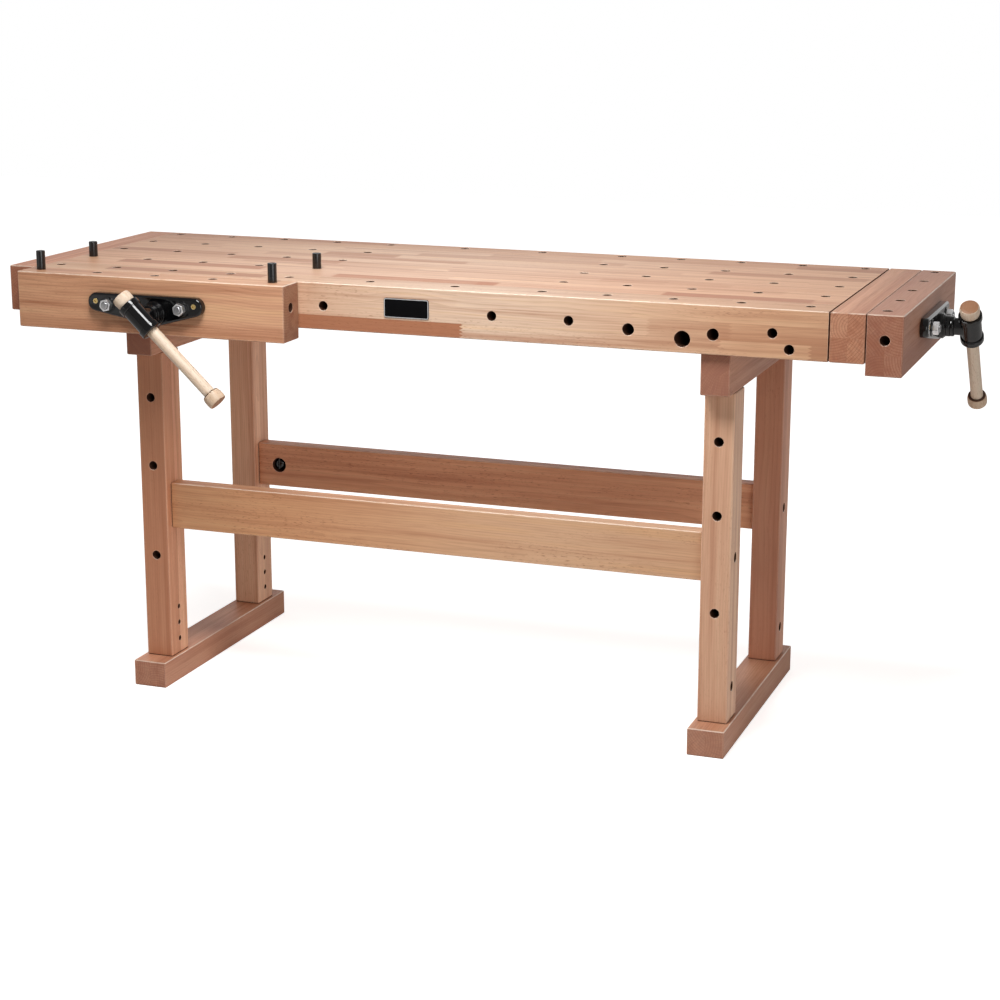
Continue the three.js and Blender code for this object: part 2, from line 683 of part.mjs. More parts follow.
// Outline of a vise casting: flat top, round ends, and a boss round the screw
function castingOutline(length, top, endRadius, bossRadius) {
  const reach = length / 2 - endRadius;
  const left = [-reach, top - endRadius];
  const right = [reach, top - endRadius];
  const boss = [SCREW_OFFSET, screwLevel];
  const leftAngle = lowerTangent(left, endRadius, boss, bossRadius);
  const rightAngle = lowerTangent(boss, bossRadius, right, endRadius);
  const outline = new THREE.Shape();
  outline.absarc(...left, endRadius, Math.PI / 2, 2 * Math.PI + leftAngle, false);
  outline.absarc(...boss, bossRadius, leftAngle, rightAngle, false);
  outline.absarc(...right, endRadius, rightAngle, Math.PI / 2, false);
  outline.closePath();
  return outline;
}

// Everything of one vise. place takes the distance across, inward into the bench, and the height.
function vise(prefix, place, { gap, depth, start, end, dogs, endHole, tilt }) {
  const rods = [-ROD_SPACING / 2, ROD_SPACING / 2];
  const jawInner = -gap;
  const jawOuter = jawInner - JAW_THICKNESS;
  const castingBack = jawOuter - SEAM;
  const castingFace = castingBack - CASTING_THICKNESS;
  const origin = new THREE.Vector3(...place(0, 0, 0));
  const across = new THREE.Vector3(...place(1, 0, 0)).sub(origin);
  const inward = new THREE.Vector3(...place(0, 1, 0)).sub(origin).toArray();
  const outward = inward.map((value) => -value);
  const bore = (at, z, from, to, diameter) => (
    bar(place(at, from, z), place(at, to, z), diameter, ROUND_SIDES)
  );

  // Extrudes an outline drawn across the vise and up, outward from a distance into the bench
  const extruded = (outline, from, options) => {
    const geometry = new THREE.ExtrudeGeometry(outline, { curveSegments: OUTLINE_SEGMENTS, ...options });
    const up = new THREE.Vector3(0, 0, 1);
    geometry.applyMatrix4(new THREE.Matrix4().makeBasis(across, up, new THREE.Vector3(...outward)));
    return geometry.translate(...place(0, from, 0));
  };

  // A dog hole goes right through the jaw unless a rod or the screw runs below it
  const dogHole = (at) => {
    const row = jawInner - JAW_DOG_INSET;
    const besides = (DOG_HOLE_DIAMETER + screwBore) / 2 + JAW_DOG_WEB;
    const depths = [...rods.map((rod) => [rod, rodDrop]), [SCREW_OFFSET, screwDrop]]
      .filter(([under]) => Math.abs(under - at) < besides)
      .map(([, drop]) => drop - COLLAR_DIAMETER / 2 - BLIND_FLOOR);
    const floor = Math.min(JAW_HEIGHT + OVERRUN, ...depths);
    return bar(
      place(at, row, BENCH_HEIGHT - floor),
      place(at, row, BENCH_HEIGHT + OVERRUN),
      DOG_HOLE_DIAMETER,
      DOG_SIDES,
    );
  };

  const jaw = () => {
    const body = squaredBlock(
      place(start, jawOuter, BENCH_HEIGHT - JAW_HEIGHT),
      place(end, jawInner, BENCH_HEIGHT),
      inward.map((value) => (value < 0 ? 1 : 0)),
      inward.map((value) => (value > 0 ? 1 : 0)),
    );
    const endLevel = BENCH_HEIGHT - JAW_END_HOLE_DROP;
    const halfway = (jawInner + jawOuter) / 2;
    const endSide = Math.sign(endHole);
    const endDepth = FRONT_JAW_DOG_MARGIN - DOG_HOLE_DIAMETER / 2 - JAW_DOG_WEB;
    const peg = bar(
      place(endHole + endSide * OVERRUN, halfway, endLevel),
      place(endHole - endSide * endDepth, halfway, endLevel),
      DOG_HOLE_DIAMETER,
      DOG_SIDES,
    );
    const collarFloor = jawOuter + COLLAR_LENGTH + COLLAR_ROOM;
    return cut(body, [
      ...dogs.map(dogHole),
      peg,
      ...rods.map((at) => bore(at, rodLevel, jawInner + OVERRUN, jawOuter - OVERRUN, rodBore)),
      bore(SCREW_OFFSET, screwLevel, jawInner + OVERRUN, jawOuter - OVERRUN, screwBore),
      bore(SCREW_OFFSET, screwLevel, collarFloor, jawOuter - OVERRUN, COLLAR_DIAMETER + COLLAR_ROOM),
    ]);
  };

  const casting = () => {
    const top = rodLevel + CASTING_ABOVE_RODS;
    const outline = castingOutline(castingLength, top, CASTING_END_RADIUS, CASTING_BOSS_RADIUS);
    const shell = extruded(outline, castingBack, {
      depth: CASTING_THICKNESS - CASTING_BEVEL,
      bevelThickness: CASTING_BEVEL,
      bevelSize: CASTING_BEVEL,
      bevelOffset: -CASTING_BEVEL,
      bevelSegments: 2,
    });
    const behind = box(
      place(-castingLength, castingBack, BENCH_HEIGHT - 2 * JAW_HEIGHT),
      place(castingLength, castingBack + 2 * CASTING_BEVEL, BENCH_HEIGHT),
    );
    const boss = turned([
      [0, -CASTING_BEVEL],
      [BOSS_FOOT_RADIUS, -CASTING_BEVEL],
      [BOSS_FOOT_RADIUS, BOSS_STEP - BOSS_EDGE],
      [BOSS_FOOT_RADIUS - BOSS_EDGE, BOSS_STEP],
      [BOSS_TOP_RADIUS, BOSS_STEP],
      [BOSS_TOP_RADIUS, BOSS_HEIGHT - BOSS_EDGE],
      [BOSS_TOP_RADIUS - BOSS_EDGE, BOSS_HEIGHT],
      [0, BOSS_HEIGHT],
    ], place(SCREW_OFFSET, castingFace, screwLevel), outward);
    const pads = rods.map((at) => turned([
      [0, -CASTING_BEVEL],
      [ROD_PAD_RADIUS, -CASTING_BEVEL],
      [ROD_PAD_RADIUS, ROD_PAD_HEIGHT],
      [0, ROD_PAD_HEIGHT],
    ], place(at, castingFace, rodLevel), outward));
    const front = castingFace - BOSS_HEIGHT - OVERRUN;
    const back = castingBack + OVERRUN;
    return cut(join(shell, [boss, ...pads]), [
      behind,
      ...rods.map((at) => bore(at, rodLevel, back, front, STUD_DIAMETER + 2 * SEAM)),
      bore(SCREW_OFFSET, screwLevel, back, front, screwBore),
    ]);
  };

  const nutBack = depth + SEAM + NUT_CASTING_THICKNESS;
  const nutCasting = () => {
    const top = slabBottom - NUT_CASTING_ROOM;
    const outline = castingOutline(nutCastingLength, top, NUT_CASTING_END_RADIUS, NUT_CASTING_BOSS_RADIUS);
    const body = extruded(outline, nutBack, { depth: NUT_CASTING_THICKNESS, bevelEnabled: false });
    return cut(body, [
      ...rods.map((at) => bore(at, rodLevel, depth, nutBack + OVERRUN, rodBore)),
      bore(SCREW_OFFSET, screwLevel, depth, nutBack + OVERRUN, screwBore),
    ]);
  };

  // Guide rods: a shoulder sits behind the casting, and a stud goes through it to the nut
  const nutSeat = castingFace - ROD_PAD_HEIGHT - SEAM;
  const studTip = nutSeat - ROD_NUT_HEIGHT - STUD_TIP;
  const shoulder = jawOuter - studTip;
  const rodLength = nutBack + VISE_TRAVEL + ROD_SPARE - studTip;
  const guideRod = (at) => turned([
    [0, 0],
    [STUD_DIAMETER / 2, 0],
    [STUD_DIAMETER / 2, shoulder],
    [ROD_DIAMETER / 2, shoulder],
    [ROD_DIAMETER / 2, rodLength],
    [0, rodLength],
  ], place(at, studTip, rodLevel), inward);

  const rodNut = (at) => {
    const blank = hexPrism(place(at, nutSeat, rodLevel), outward, ROD_NUT_WIDTH, ROD_NUT_HEIGHT);
    const thread = bore(at, rodLevel, nutSeat + OVERRUN, studTip - OVERRUN, STUD_DIAMETER + 2 * SEAM);
    return cut(blank, [thread]);
  };

  // Screw, retaining collar and tee hub
  const hubLevel = jawOuter - SEAM - hubReach;
  const stemStart = castingFace - BOSS_HEIGHT - SEAM;
  const screwTip = hubLevel + hubBore / 2 + SCREW_SOCKET_FLOOR;
  const screwLength = nutBack + VISE_TRAVEL + SCREW_SPARE - screwTip;
  const screw = () => turned([
    [0, 0],
    [SCREW_DIAMETER / 2, 0],
    [SCREW_DIAMETER / 2, screwLength - SCREW_POINT],
    [SCREW_DIAMETER / 2 - SCREW_POINT, screwLength],
    [0, screwLength],
  ], place(SCREW_OFFSET, screwTip, screwLevel), inward);

  const collar = () => ring(
    place(SCREW_OFFSET, jawOuter + SEAM, screwLevel),
    inward,
    COLLAR_DIAMETER,
    screwFit,
    COLLAR_LENGTH,
  );

  const lean = THREE.MathUtils.degToRad(tilt);
  const hubCentre = new THREE.Vector3(...place(SCREW_OFFSET, hubLevel, screwLevel));
  const handleAxis = across.clone().multiplyScalar(-Math.sin(lean)).setZ(Math.cos(lean));
  const onHandle = (distance) => hubCentre.clone().addScaledVector(handleAxis, distance).toArray();

  const hub = () => {
    const half = HUB_LENGTH / 2;
    const rim = HUB_RIM_DIAMETER / 2;
    const tube = turned([
      [0, -half],
      [rim - HUB_EDGE, -half],
      [rim, -half + HUB_EDGE],
      [rim, HUB_RIM_LENGTH - half - HUB_EDGE],
      [HUB_DIAMETER / 2, HUB_RIM_LENGTH - half],
      [HUB_DIAMETER / 2, half - HUB_RIM_LENGTH],
      [rim, half - HUB_RIM_LENGTH + HUB_EDGE],
      [rim, half - HUB_EDGE],
      [rim - HUB_EDGE, half],
      [0, half],
    ], onHandle(0), handleAxis.toArray());
    const stemLength = stemStart - hubLevel;
    const stem = turned([
      [0, 0],
      [HUB_FLARE_DIAMETER / 2, 0],
      [HUB_FLARE_DIAMETER / 2, HUB_FLARE_LENGTH - HUB_EDGE],
      [HUB_STEM_DIAMETER / 2, HUB_FLARE_LENGTH],
      [HUB_STEM_DIAMETER / 2, stemLength],
      [0, stemLength],
    ], place(SCREW_OFFSET, stemStart, screwLevel), outward);
    const socket = bore(SCREW_OFFSET, screwLevel, stemStart + OVERRUN, screwTip - SEAM, screwFit);
    const eye = bar(onHandle(-half - OVERRUN), onHandle(half + OVERRUN), hubBore, ROUND_SIDES);
    return cut(join(tube, [stem]), [eye, socket]);
  };

  // Handle: the bar is turned with its lower knob, and the upper knob is pushed on to a peg
  const knobSeat = HUB_LENGTH / 2 + SEAM;
  const barFoot = knobSeat + KNOB_LENGTH - HANDLE_LENGTH;
  const barLength = knobSeat - SEAM - barFoot;
  const knob = KNOB_DIAMETER / 2;
  const roundMiddle = KNOB_ROUND * QUARTER_ROUND_MIDDLE;
  const handleBar = () => turned([
    [0, 0],
    [knob - KNOB_ROUND, 0],
    [knob - roundMiddle, roundMiddle],
    [knob, KNOB_ROUND],
    [knob, KNOB_LENGTH - KNOB_SHOULDER],
    [knob - KNOB_SHOULDER, KNOB_LENGTH],
    [HANDLE_DIAMETER / 2, KNOB_LENGTH],
    [HANDLE_DIAMETER / 2, barLength],
    [KNOB_PEG_DIAMETER / 2, barLength],
    [KNOB_PEG_DIAMETER / 2, barLength + KNOB_PEG_LENGTH],
    [0, barLength + KNOB_PEG_LENGTH],
  ], onHandle(barFoot), handleAxis.toArray());

  const handleKnob = () => {
    const peg = KNOB_PEG_DIAMETER / 2 + SEAM;
    return turned([
      [peg, 0],
      [knob - KNOB_SHOULDER, 0],
      [knob, KNOB_SHOULDER],
      [knob, KNOB_LENGTH - KNOB_ROUND],
      [knob - roundMiddle, KNOB_LENGTH - roundMiddle],
      [knob - KNOB_ROUND, KNOB_LENGTH],
      [0, KNOB_LENGTH],
      [0, KNOB_PEG_LENGTH],
      [peg, KNOB_PEG_LENGTH],
      [peg, 0],
    ], onHandle(knobSeat), handleAxis.toArray());
  };

  const handleBuffer = () => ring(
    onHandle(barFoot + KNOB_LENGTH + SEAM),
    handleAxis.toArray(),
    KNOB_DIAMETER - 2 * BUFFER_STEP,
    HANDLE_DIAMETER + 2 * SEAM,
    BUFFER_THICKNESS,
  );

  add(`${prefix}_jaw`, jaw(), beech());
  add(`${prefix}_casting`, casting(), blackIron());
  add(`${prefix}_nut_casting`, nutCasting(), blackIron());
  ['near', 'far'].forEach((side, index) => {
    add(`${prefix}_guide_rod_${side}`, guideRod(rods[index]), steel());
    add(`${prefix}_rod_nut_${side}`, rodNut(rods[index]), steel());
  });
  add(`${prefix}_screw`, screw(), steel());
  add(`${prefix}_collar`, collar(), steel());
  add(`${prefix}_hub`, hub(), blackIron());
  add(`${prefix}_handle_bar`, handleBar(), paleBeech());
  add(`${prefix}_handle_knob`, handleKnob(), paleBeech());
  add(`${prefix}_handle_buffer`, handleBuffer(), rubber());
}

function benchDog(x, y, rise) {
  const radius = DOG_HOLE_DIAMETER / 2 - DOG_PLAY;
  return turned([
    [0, 0],
    [radius, 0],
    [radius, DOG_LENGTH - DOG_CHAMFER],
    [radius - DOG_CHAMFER, DOG_LENGTH],
    [0, DOG_LENGTH],
  ], [x, y, BENCH_HEIGHT + rise - DOG_LENGTH], [0, 0, 1], DOG_SIDES);
}

// Assembly
add('top_slab', topSlab(), beech());
add('front_apron', frontApron(), beech());
add('rear_apron', rearApron(), beech());
add('left_end_cap', leftEndCap(), beech());
add('right_end_cap', rightEndCap(), beech());
add('name_plate', namePlate(), blackIron());
['left', 'right'].forEach((side, index) => {
  const x = trestles[index];
  const outward = index === 0 ? -1 : 1;
  add(`${side}_foot`, foot(x), beech());
  add(`${side}_bearer`, bearer(x), beech());
  ['front', 'rear'].forEach((row, rowIndex) => {
    const y = legMiddles[rowIndex];
    const inside = rowIndex === 0 ? 1 : -1;
    const legFace = x - (outward * LEG_WIDTH) / 2;
    add(`${side}_${row}_leg`, leg(x, y, outward, rowIndex === 0), beech());
    add(`${side}_${row}_stretcher_bolt`, stretcherBolt(x, y, outward), steel());
    add(`${side}_${row}_barrel_nut`, barrelNut(legFace, y, inside, -outward), steel());
    add(`${side}_${row}_top_bolt`, topBolt(x, topBoltRows[rowIndex]), steel());
  });
});
add('front_stretcher', stretcher(legMiddles[0], 1), beech());
add('rear_stretcher', stretcher(legMiddles[1], -1), beech());

const jawDogs = [];
for (let column = 0; column < DOG_GROUP_COLUMNS; column += 1) {
  jawDogs.push(firstColumn + column * dogPitch - frontMiddle);
}
const tailDogs = [];
for (let row = 0; row < DOG_ROWS; row += 1) {
  tailDogs.push(dogRow(row) - tailMiddle);
}
vise('front', frontVise, {
  gap: SEAM,
  depth: APRON_WIDTH,
  start: -FRONT_JAW_LENGTH / 2,
  end: FRONT_JAW_LENGTH / 2,
  dogs: jawDogs,
  endHole: FRONT_JAW_LENGTH / 2,
  tilt: FRONT_HANDLE_TILT,
});
vise('tail', tailVise, {
  gap: TAIL_JAW_GAP,
  depth: END_CAP_WIDTH,
  start: -BENCH_DEPTH / 2,
  end: BENCH_DEPTH / 2,
  dogs: tailDogs,
  endHole: -BENCH_DEPTH / 2,
  tilt: TAIL_HANDLE_TILT,
});

const jawRow = -SEAM - JAW_DOG_INSET;
add('jaw_dog_left', benchDog(firstColumn, jawRow, JAW_DOG_RISE), blackIron());
add('jaw_dog_right', benchDog(groupEnd, jawRow, JAW_DOG_RISE), blackIron());
add('top_dog_left', benchDog(firstColumn, dogRow(1), TOP_DOG_RISE), blackIron());
add('top_dog_right', benchDog(groupEnd, dogRow(1), TOP_DOG_RISE), blackIron());

// Centred on the floor
const centre = new THREE.Box3().setFromObject(bench).getCenter(new THREE.Vector3());
bench.children.forEach((mesh) => mesh.geometry.translate(-centre.x, -centre.y, 0));

export default bench;
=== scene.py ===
import math

import bmesh
import bpy
from mathutils import Matrix, Vector


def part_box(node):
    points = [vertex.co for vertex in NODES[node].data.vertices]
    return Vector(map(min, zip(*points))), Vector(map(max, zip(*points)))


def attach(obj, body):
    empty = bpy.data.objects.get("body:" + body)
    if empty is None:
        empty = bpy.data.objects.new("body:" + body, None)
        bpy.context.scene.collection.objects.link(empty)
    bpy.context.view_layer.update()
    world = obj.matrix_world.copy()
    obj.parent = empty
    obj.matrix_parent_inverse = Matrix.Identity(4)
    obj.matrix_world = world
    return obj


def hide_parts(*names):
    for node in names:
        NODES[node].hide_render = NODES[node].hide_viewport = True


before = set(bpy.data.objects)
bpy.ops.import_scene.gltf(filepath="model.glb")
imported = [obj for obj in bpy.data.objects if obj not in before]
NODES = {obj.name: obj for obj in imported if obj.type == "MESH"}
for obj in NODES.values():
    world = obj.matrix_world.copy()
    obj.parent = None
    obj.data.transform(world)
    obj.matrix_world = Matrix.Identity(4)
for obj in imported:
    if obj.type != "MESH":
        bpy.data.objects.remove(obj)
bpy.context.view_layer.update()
MM = 0.001

# The photograph's camera, in millimetres from the bench's left end, front face and floor
CAMERA_PLACE_MM = (2549.45, -3966.66, 1551.28)
CAMERA_YAW = 20.102
CAMERA_PITCH = -14.138
CAMERA_ROLL = 0.072
CAMERA_FOCAL_PX = 2199.44
IMAGE_PX = 1000
SENSOR_MM = 36.0


# Node graphs

class Value:
    """A node's output. Sums and products of values add the nodes that work them out."""

    def __init__(self, graph, socket):
        self.graph = graph
        self.socket = socket

    def __add__(self, other):
        return self.graph.math("ADD", self, other)

    def __sub__(self, other):
        return self.graph.math("SUBTRACT", self, other)

    def __mul__(self, other):
        return self.graph.math("MULTIPLY", self, other)

    def __truediv__(self, other):
        return self.graph.math("DIVIDE", self, other)

    def __pow__(self, other):
        return self.graph.math("POWER", self, other)


class Graph:
    """The nodes of a material or a world. Each call adds a node and returns its output."""

    def __init__(self, owner):
        owner.use_nodes = True
        self.owner = owner
        self.tree = owner.node_tree
        self.tree.nodes.clear()
        self.place = self.add("ShaderNodeTexCoord", output="Object")
        self.normal = self.add("ShaderNodeTexCoord", output="Normal")

    def add(self, kind, inputs=(), output=0, **settings):
        """Adds a node. inputs pairs a socket's name or number with a value, which is linked or set."""
        node = self.tree.nodes.new(kind)
        for key, value in settings.items():
            setattr(node, key, value)
        for key, value in dict(inputs).items():
            if isinstance(value, Value):
                self.tree.links.new(value.socket, node.inputs[key])
            elif value is not None:
                node.inputs[key].default_value = value
        return Value(self, node.outputs[output])

    def math(self, operation, *values, clamp=False):
        return self.add("ShaderNodeMath", enumerate(values), operation=operation, use_clamp=clamp)

    def combine(self, *parts):
        return self.add("ShaderNodeCombineXYZ", enumerate(parts))

    def separate(self, vector):
        node = self.add("ShaderNodeSeparateXYZ", [(0, vector)]).socket.node
        return [Value(self, socket) for socket in node.outputs]

    def noise(self, vector, detail=3.0, roughness=0.55, scale=1.0):
        inputs = {"Vector": vector, "Scale": scale, "Detail": detail, "Roughness": roughness}
        return self.add("ShaderNodeTexNoise", inputs, noise_dimensions="3D")

    def scaled_noise(self, scale, **settings):
        return self.noise(self.place, scale=scale, **settings)

    def stretched_noise(self, parts, scales, **settings):
        """Noise with a scale of its own along each of three directions."""
        return self.noise(self.combine(*(part * scale for part, scale in zip(parts, scales))), **settings)

    def random(self, vector):
        return self.add("ShaderNodeTexWhiteNoise", [("Vector", vector)], "Color", noise_dimensions="3D")

    def span(self, value, from_low, from_high, to_low=0.0, to_high=1.0, kind="SMOOTHSTEP"):
        inputs = enumerate((value, from_low, from_high, to_low, to_high))
        return self.add("ShaderNodeMapRange", inputs, interpolation_type=kind, clamp=True)

    def mix(self, share, first, second, blend="MIX"):
        inputs = [(0, share), (6, first), (7, second)]
        return self.add("ShaderNodeMix", inputs, 2, data_type="RGBA", blend_type=blend)

    def layers(self, color, *coats):
        """Lays coats over a colour, each a pair of its share and its colour."""
        for share, coat in coats:
            color = self.mix(share, color, coat)
        return color

    def edges(self, radius):
        """0 on a flat face, up to 1 within about a radius of an edge."""
        bevel = self.add("ShaderNodeBevel", [("Radius", radius)], samples=4)
        normal = self.add("ShaderNodeNewGeometry", output="Normal")
        dot = self.add("ShaderNodeVectorMath", enumerate((bevel, normal)), "Value", operation="DOT_PRODUCT")
        return self.span(dot, 0.995, 0.86)

    def openness(self, distance):
        """1 on an open face, down to 0 deep in a hole or a gap."""
        return self.add("ShaderNodeAmbientOcclusion", [("Distance", distance)], "AO", samples=4)

    def bump(self, height, distance, strength):
        return self.add("ShaderNodeBump", {"Strength": strength, "Distance": distance, "Height": height})

    def finish(self, color, roughness, normal, **constants):
        inputs = {"Base Color": color, "Roughness": roughness, "Normal": normal}
        for key, value in constants.items():
            inputs[key.replace("_", " ")] = value
        return self.surface(self.add("ShaderNodeBsdfPrincipled", inputs), "ShaderNodeOutputMaterial")

    def surface(self, shader, kind):
        output = self.tree.nodes.new(kind)
        self.tree.links.new(shader.socket, output.inputs["Surface"])
        return self.owner


def new_graph(name):
    return Graph(bpy.data.materials.new(name))


def rgb(red, green, blue):
    return (red, green, blue, 1.0)


WHITE = rgb(1, 1, 1)
BEECH_LIGHT = rgb(0.765, 0.470, 0.295)
BEECH_MIDDLE = rgb(0.680, 0.376, 0.216)
BEECH_DARK = rgb(0.430, 0.180, 0.095)
BEECH_LINE = rgb(0.280, 0.105, 0.052)
BEECH_PAINTED_LIGHT = rgb(0.800, 0.610, 0.465)
BEECH_GOLD = rgb(0.820, 0.560, 0.345)
BEECH_WEAR_AND_HIGHLIGHT = rgb(0.900, 0.770, 0.640)
BEECH_PAINTED_SHADE = rgb(0.040, 0.017, 0.010)
BEECH_END = rgb(0.310, 0.155, 0.102)
WOOD_SHINE = 0.36
AXES = {"x": 0, "y": 1, "z": 2}

# Sizes within the wood, in metres: half a finger of a joint, the staves' shift, rings, pith and glue lines
FINGER_HALF = 0.0035
FINGER_SLOPE = 2.4
STAVE_SHIFT = 7.0
RING_WIDTH = 0.0052
RING_WARP = 0.0016
RING_WAVE = 0.030
PITH_SPREAD = 0.17
GLUE_WIDTH = 0.0007
WEAR_AND_HIGHLIGHT_WIDTH = 0.0026
GAP_DEPTH = 0.012


def beech(name, axes, length, widths, starts, seed, tone=0.0, spread=1.0, fleck=0.5, runs=(),
          cast_and_painted_light=(1.0, 1.0, 1.0), painted_light_pool=None, ends=0.42, grain=1.0):
    """Steamed beech glued up from staves. axes names the grain direction first, then the two across it.

    length is a stave's length, or None for staves as long as the board, widths its two widths and starts
    where the first one begins, in metres. tone moves all staves to the dark side, and spread is how much
    they differ. runs lists single staves as (row, ply, start, end, darkness), in metres along the grain.
    tint multiplies the board's colour: its own cast together with painted light and shade, which brighten a
    board in shadow and darken one in the light. bleach gives the middle, half width and share of a paler
    stretch along the grain, a painted pool of light where the lamp falls brightest. ends is how dark the
    end grain is, and grain how strong the streaks are.
    """
    g = new_graph(name)
    place, normal = g.separate(g.place), g.separate(g.normal)
    along, side, layer = board = [place[AXES[axis]] for axis in axes]

    # Which stave a point is in, with finger joints where two meet end to end
    across = (side - starts[0]) / widths[0]
    row = g.math("FLOOR", across)
    ply = g.math("FLOOR", (layer - starts[1]) / widths[1])
    shift = g.separate(g.random(g.combine(row, ply, seed)))[0]
    meets = along + g.math("PINGPONG", side, FINGER_HALF) * FINGER_SLOPE
    piece = g.math("FLOOR", (meets + shift * STAVE_SHIFT) / length) if length else 0.0
    pick, offset_side, offset_layer = g.separate(g.random(g.combine(piece, row + seed * 3.1, ply)))

    # Growth rings round a pith somewhere outside the stave, wandering along the grain
    wander = g.noise(g.combine(along * 2.3, pick * 40.0, seed), detail=2.0)
    wave = (wander - 0.5) * RING_WAVE
    middle_side = (row + 0.5) * widths[0] + starts[0]
    middle_layer = (ply + 0.5) * widths[1] + starts[1]
    from_side = side - middle_side + (offset_side - 0.5) * PITH_SPREAD + wave
    from_layer = layer - middle_layer + (offset_layer - 0.5) * PITH_SPREAD + wave
    warp = g.stretched_noise(board, (9.0, 150.0, 150.0), detail=2.0) * RING_WARP
    radius = g.math("SQRT", from_side ** 2.0 + from_layer ** 2.0) + warp
    late = g.math("FRACT", radius / RING_WIDTH) ** 3.0
    angle = g.math("ARCTAN2", from_side, from_layer)

    # Streaks, fibres and flecks along the grain
    streak = g.noise(g.combine(along * 1.6, side * 60.0, layer * 60.0 + pick * 30.0), roughness=0.6)
    fibre = g.stretched_noise(board, (14.0, 420.0, 420.0), detail=2.0)
    dash = g.stretched_noise(board, (95.0, 560.0, 560.0), detail=1.0)
    patch = g.span(g.stretched_noise(board, (3.0, 16.0, 16.0), detail=1.0), 0.42, 0.62)
    flecks = g.span(dash, 0.60, 0.72) * (patch * fleck)
    broad = g.scaled_noise(2.2, detail=2.0)

    # End grain, seen where the surface looks along the grain
    end = g.span(g.math("ABSOLUTE", normal[AXES[axes[0]]]), 0.55, 0.85)
    rays = g.noise(g.combine(angle * 95.0, radius * 35.0, pick), detail=2.0)

    # How dark each stave is
    dark_share = pick ** 3.0 * (1.05 * spread) + (broad - 0.5) * 0.35
    for run_row, run_ply, start, stop, depth in runs:
        here = g.math("COMPARE", row, run_row, 0.5) * g.math("COMPARE", ply, run_ply, 0.5)
        here = here * g.math("GREATER_THAN", meets, start) * g.math("LESS_THAN", meets, stop)
        dark_share = g.math("MULTIPLY_ADD", here, depth, dark_share)
    dark_share = g.math("ADD", dark_share, tone, clamp=True)

    # Colour, and the board's own cast together with painted light and shade
    color = g.mix(offset_side * 0.75, BEECH_LIGHT, BEECH_MIDDLE)
    # A paler stretch along the grain: painted light, where the lamp falls brightest
    if painted_light_pool:
        middle, half, share = painted_light_pool
        away = g.math("ABSOLUTE", along - middle)
        color = g.mix(g.span(away, half, 0.0) * share, color, BEECH_PAINTED_LIGHT)
    color = g.layers(
        color,
        (g.span(streak, 0.50, 0.26) * (0.62 * grain), BEECH_GOLD),
        (dark_share, BEECH_DARK),
        (g.span(streak, 0.46, 0.72) * (0.58 * grain), BEECH_DARK),
        (late * (end * 0.46 + 0.20 * grain), BEECH_LINE),
        (flecks * 0.55, BEECH_LINE),
        (g.span(fibre, 0.45, 0.75) * 0.19, BEECH_LINE),
        (end * (g.span(rays, 0.35, 0.7) * 0.46 + ends), BEECH_END))
    color = g.mix(1.0, color, rgb(*cast_and_painted_light), blend="MULTIPLY")

    # Thin glue lines between the staves; edges and upward slopes made paler and smoother, partly wear and
    # partly a painted highlight where they face the lamp; and painted shade in holes, gaps and corners
    glue = g.span(g.math("PINGPONG", g.math("FRACT", across), 0.5) * widths[0], GLUE_WIDTH, 0.0)
    lean = g.span(normal[2], 0.35, 0.60) * g.span(normal[2], 0.95, 0.80)
    patchy = g.span(g.scaled_noise(30.0), 0.18, 0.5)
    edges_and_slopes = g.math("MAXIMUM", g.edges(WEAR_AND_HIGHLIGHT_WIDTH) * 0.45, lean)
    # Occlusion darkens holes, gaps and corners toward near-black: painted shade
    clear = g.openness(GAP_DEPTH)
    pale_share = edges_and_slopes * patchy * g.span(clear, 0.80, 0.96)
    color = g.layers(
        color,
        (glue * 0.30, BEECH_LINE),
        (pale_share * 0.62, BEECH_WEAR_AND_HIGHLIGHT),
        (g.span(clear, 0.45, 0.10) * 0.90, BEECH_PAINTED_SHADE))

    rough = fibre * 0.16 + 0.40 + end * 0.12 - pale_share * 0.06
    height = fibre * 0.6 + late * -0.35 - flecks * 0.5
    return g.finish(color, rough, g.bump(height, 0.00022, 0.6), Specular_IOR_Level=WOOD_SHINE)


HOLE_SHADE_BROWN = rgb(0.130, 0.058, 0.034)
HOLE_SHADE_BAND = rgb(0.060, 0.026, 0.016)
HOLE_SHADE_RIM = rgb(0.20, 0.09, 0.05)
BORED_STEP = 0.004


def hole_wall_shade_wood(name):
    """The wall of a bored hole: end grain, painted near-black brown as the shade deep in a hole, mottled,
    banded down its depth and paler at its edges.
    """
    g = new_graph(name)
    mottle = g.scaled_noise(420.0)
    rings = g.math("PINGPONG", g.separate(g.place)[2] + g.scaled_noise(35.0), BORED_STEP)
    color = g.layers(
        g.mix(mottle, BEECH_PAINTED_SHADE, HOLE_SHADE_BROWN),
        (g.span(rings, 0.0, BORED_STEP), HOLE_SHADE_BAND), (g.edges(0.0008) * 0.20, HOLE_SHADE_RIM))
    return g.finish(color, mottle * 0.25 + 0.62, g.bump(mottle, 0.0003, 0.6), Specular_IOR_Level=0.15)


# Handle sizes in millimetres, measured along the handle from the hub's middle
HANDLE_RADIUS = 12.25
KNOB_RADIUS = 19.75
KNOB_SEAT = 36.8
BAR_FOOT = -233.2
KNOB_TALL = 24.0
WASHER_THICK = 1.2

PALE_LIGHT = rgb(0.810, 0.670, 0.530)
PALE_DARK = rgb(0.715, 0.540, 0.390)
PALE_LINE = rgb(0.42, 0.24, 0.12)
PALE_KNOB_TAN_AND_SHADE = rgb(0.52, 0.31, 0.17)
PALE_END = rgb(0.38, 0.165, 0.075)
PALE_EDGE = rgb(0.82, 0.68, 0.50)
PALE_PITH = 0.055
PALE_RING = 0.0048


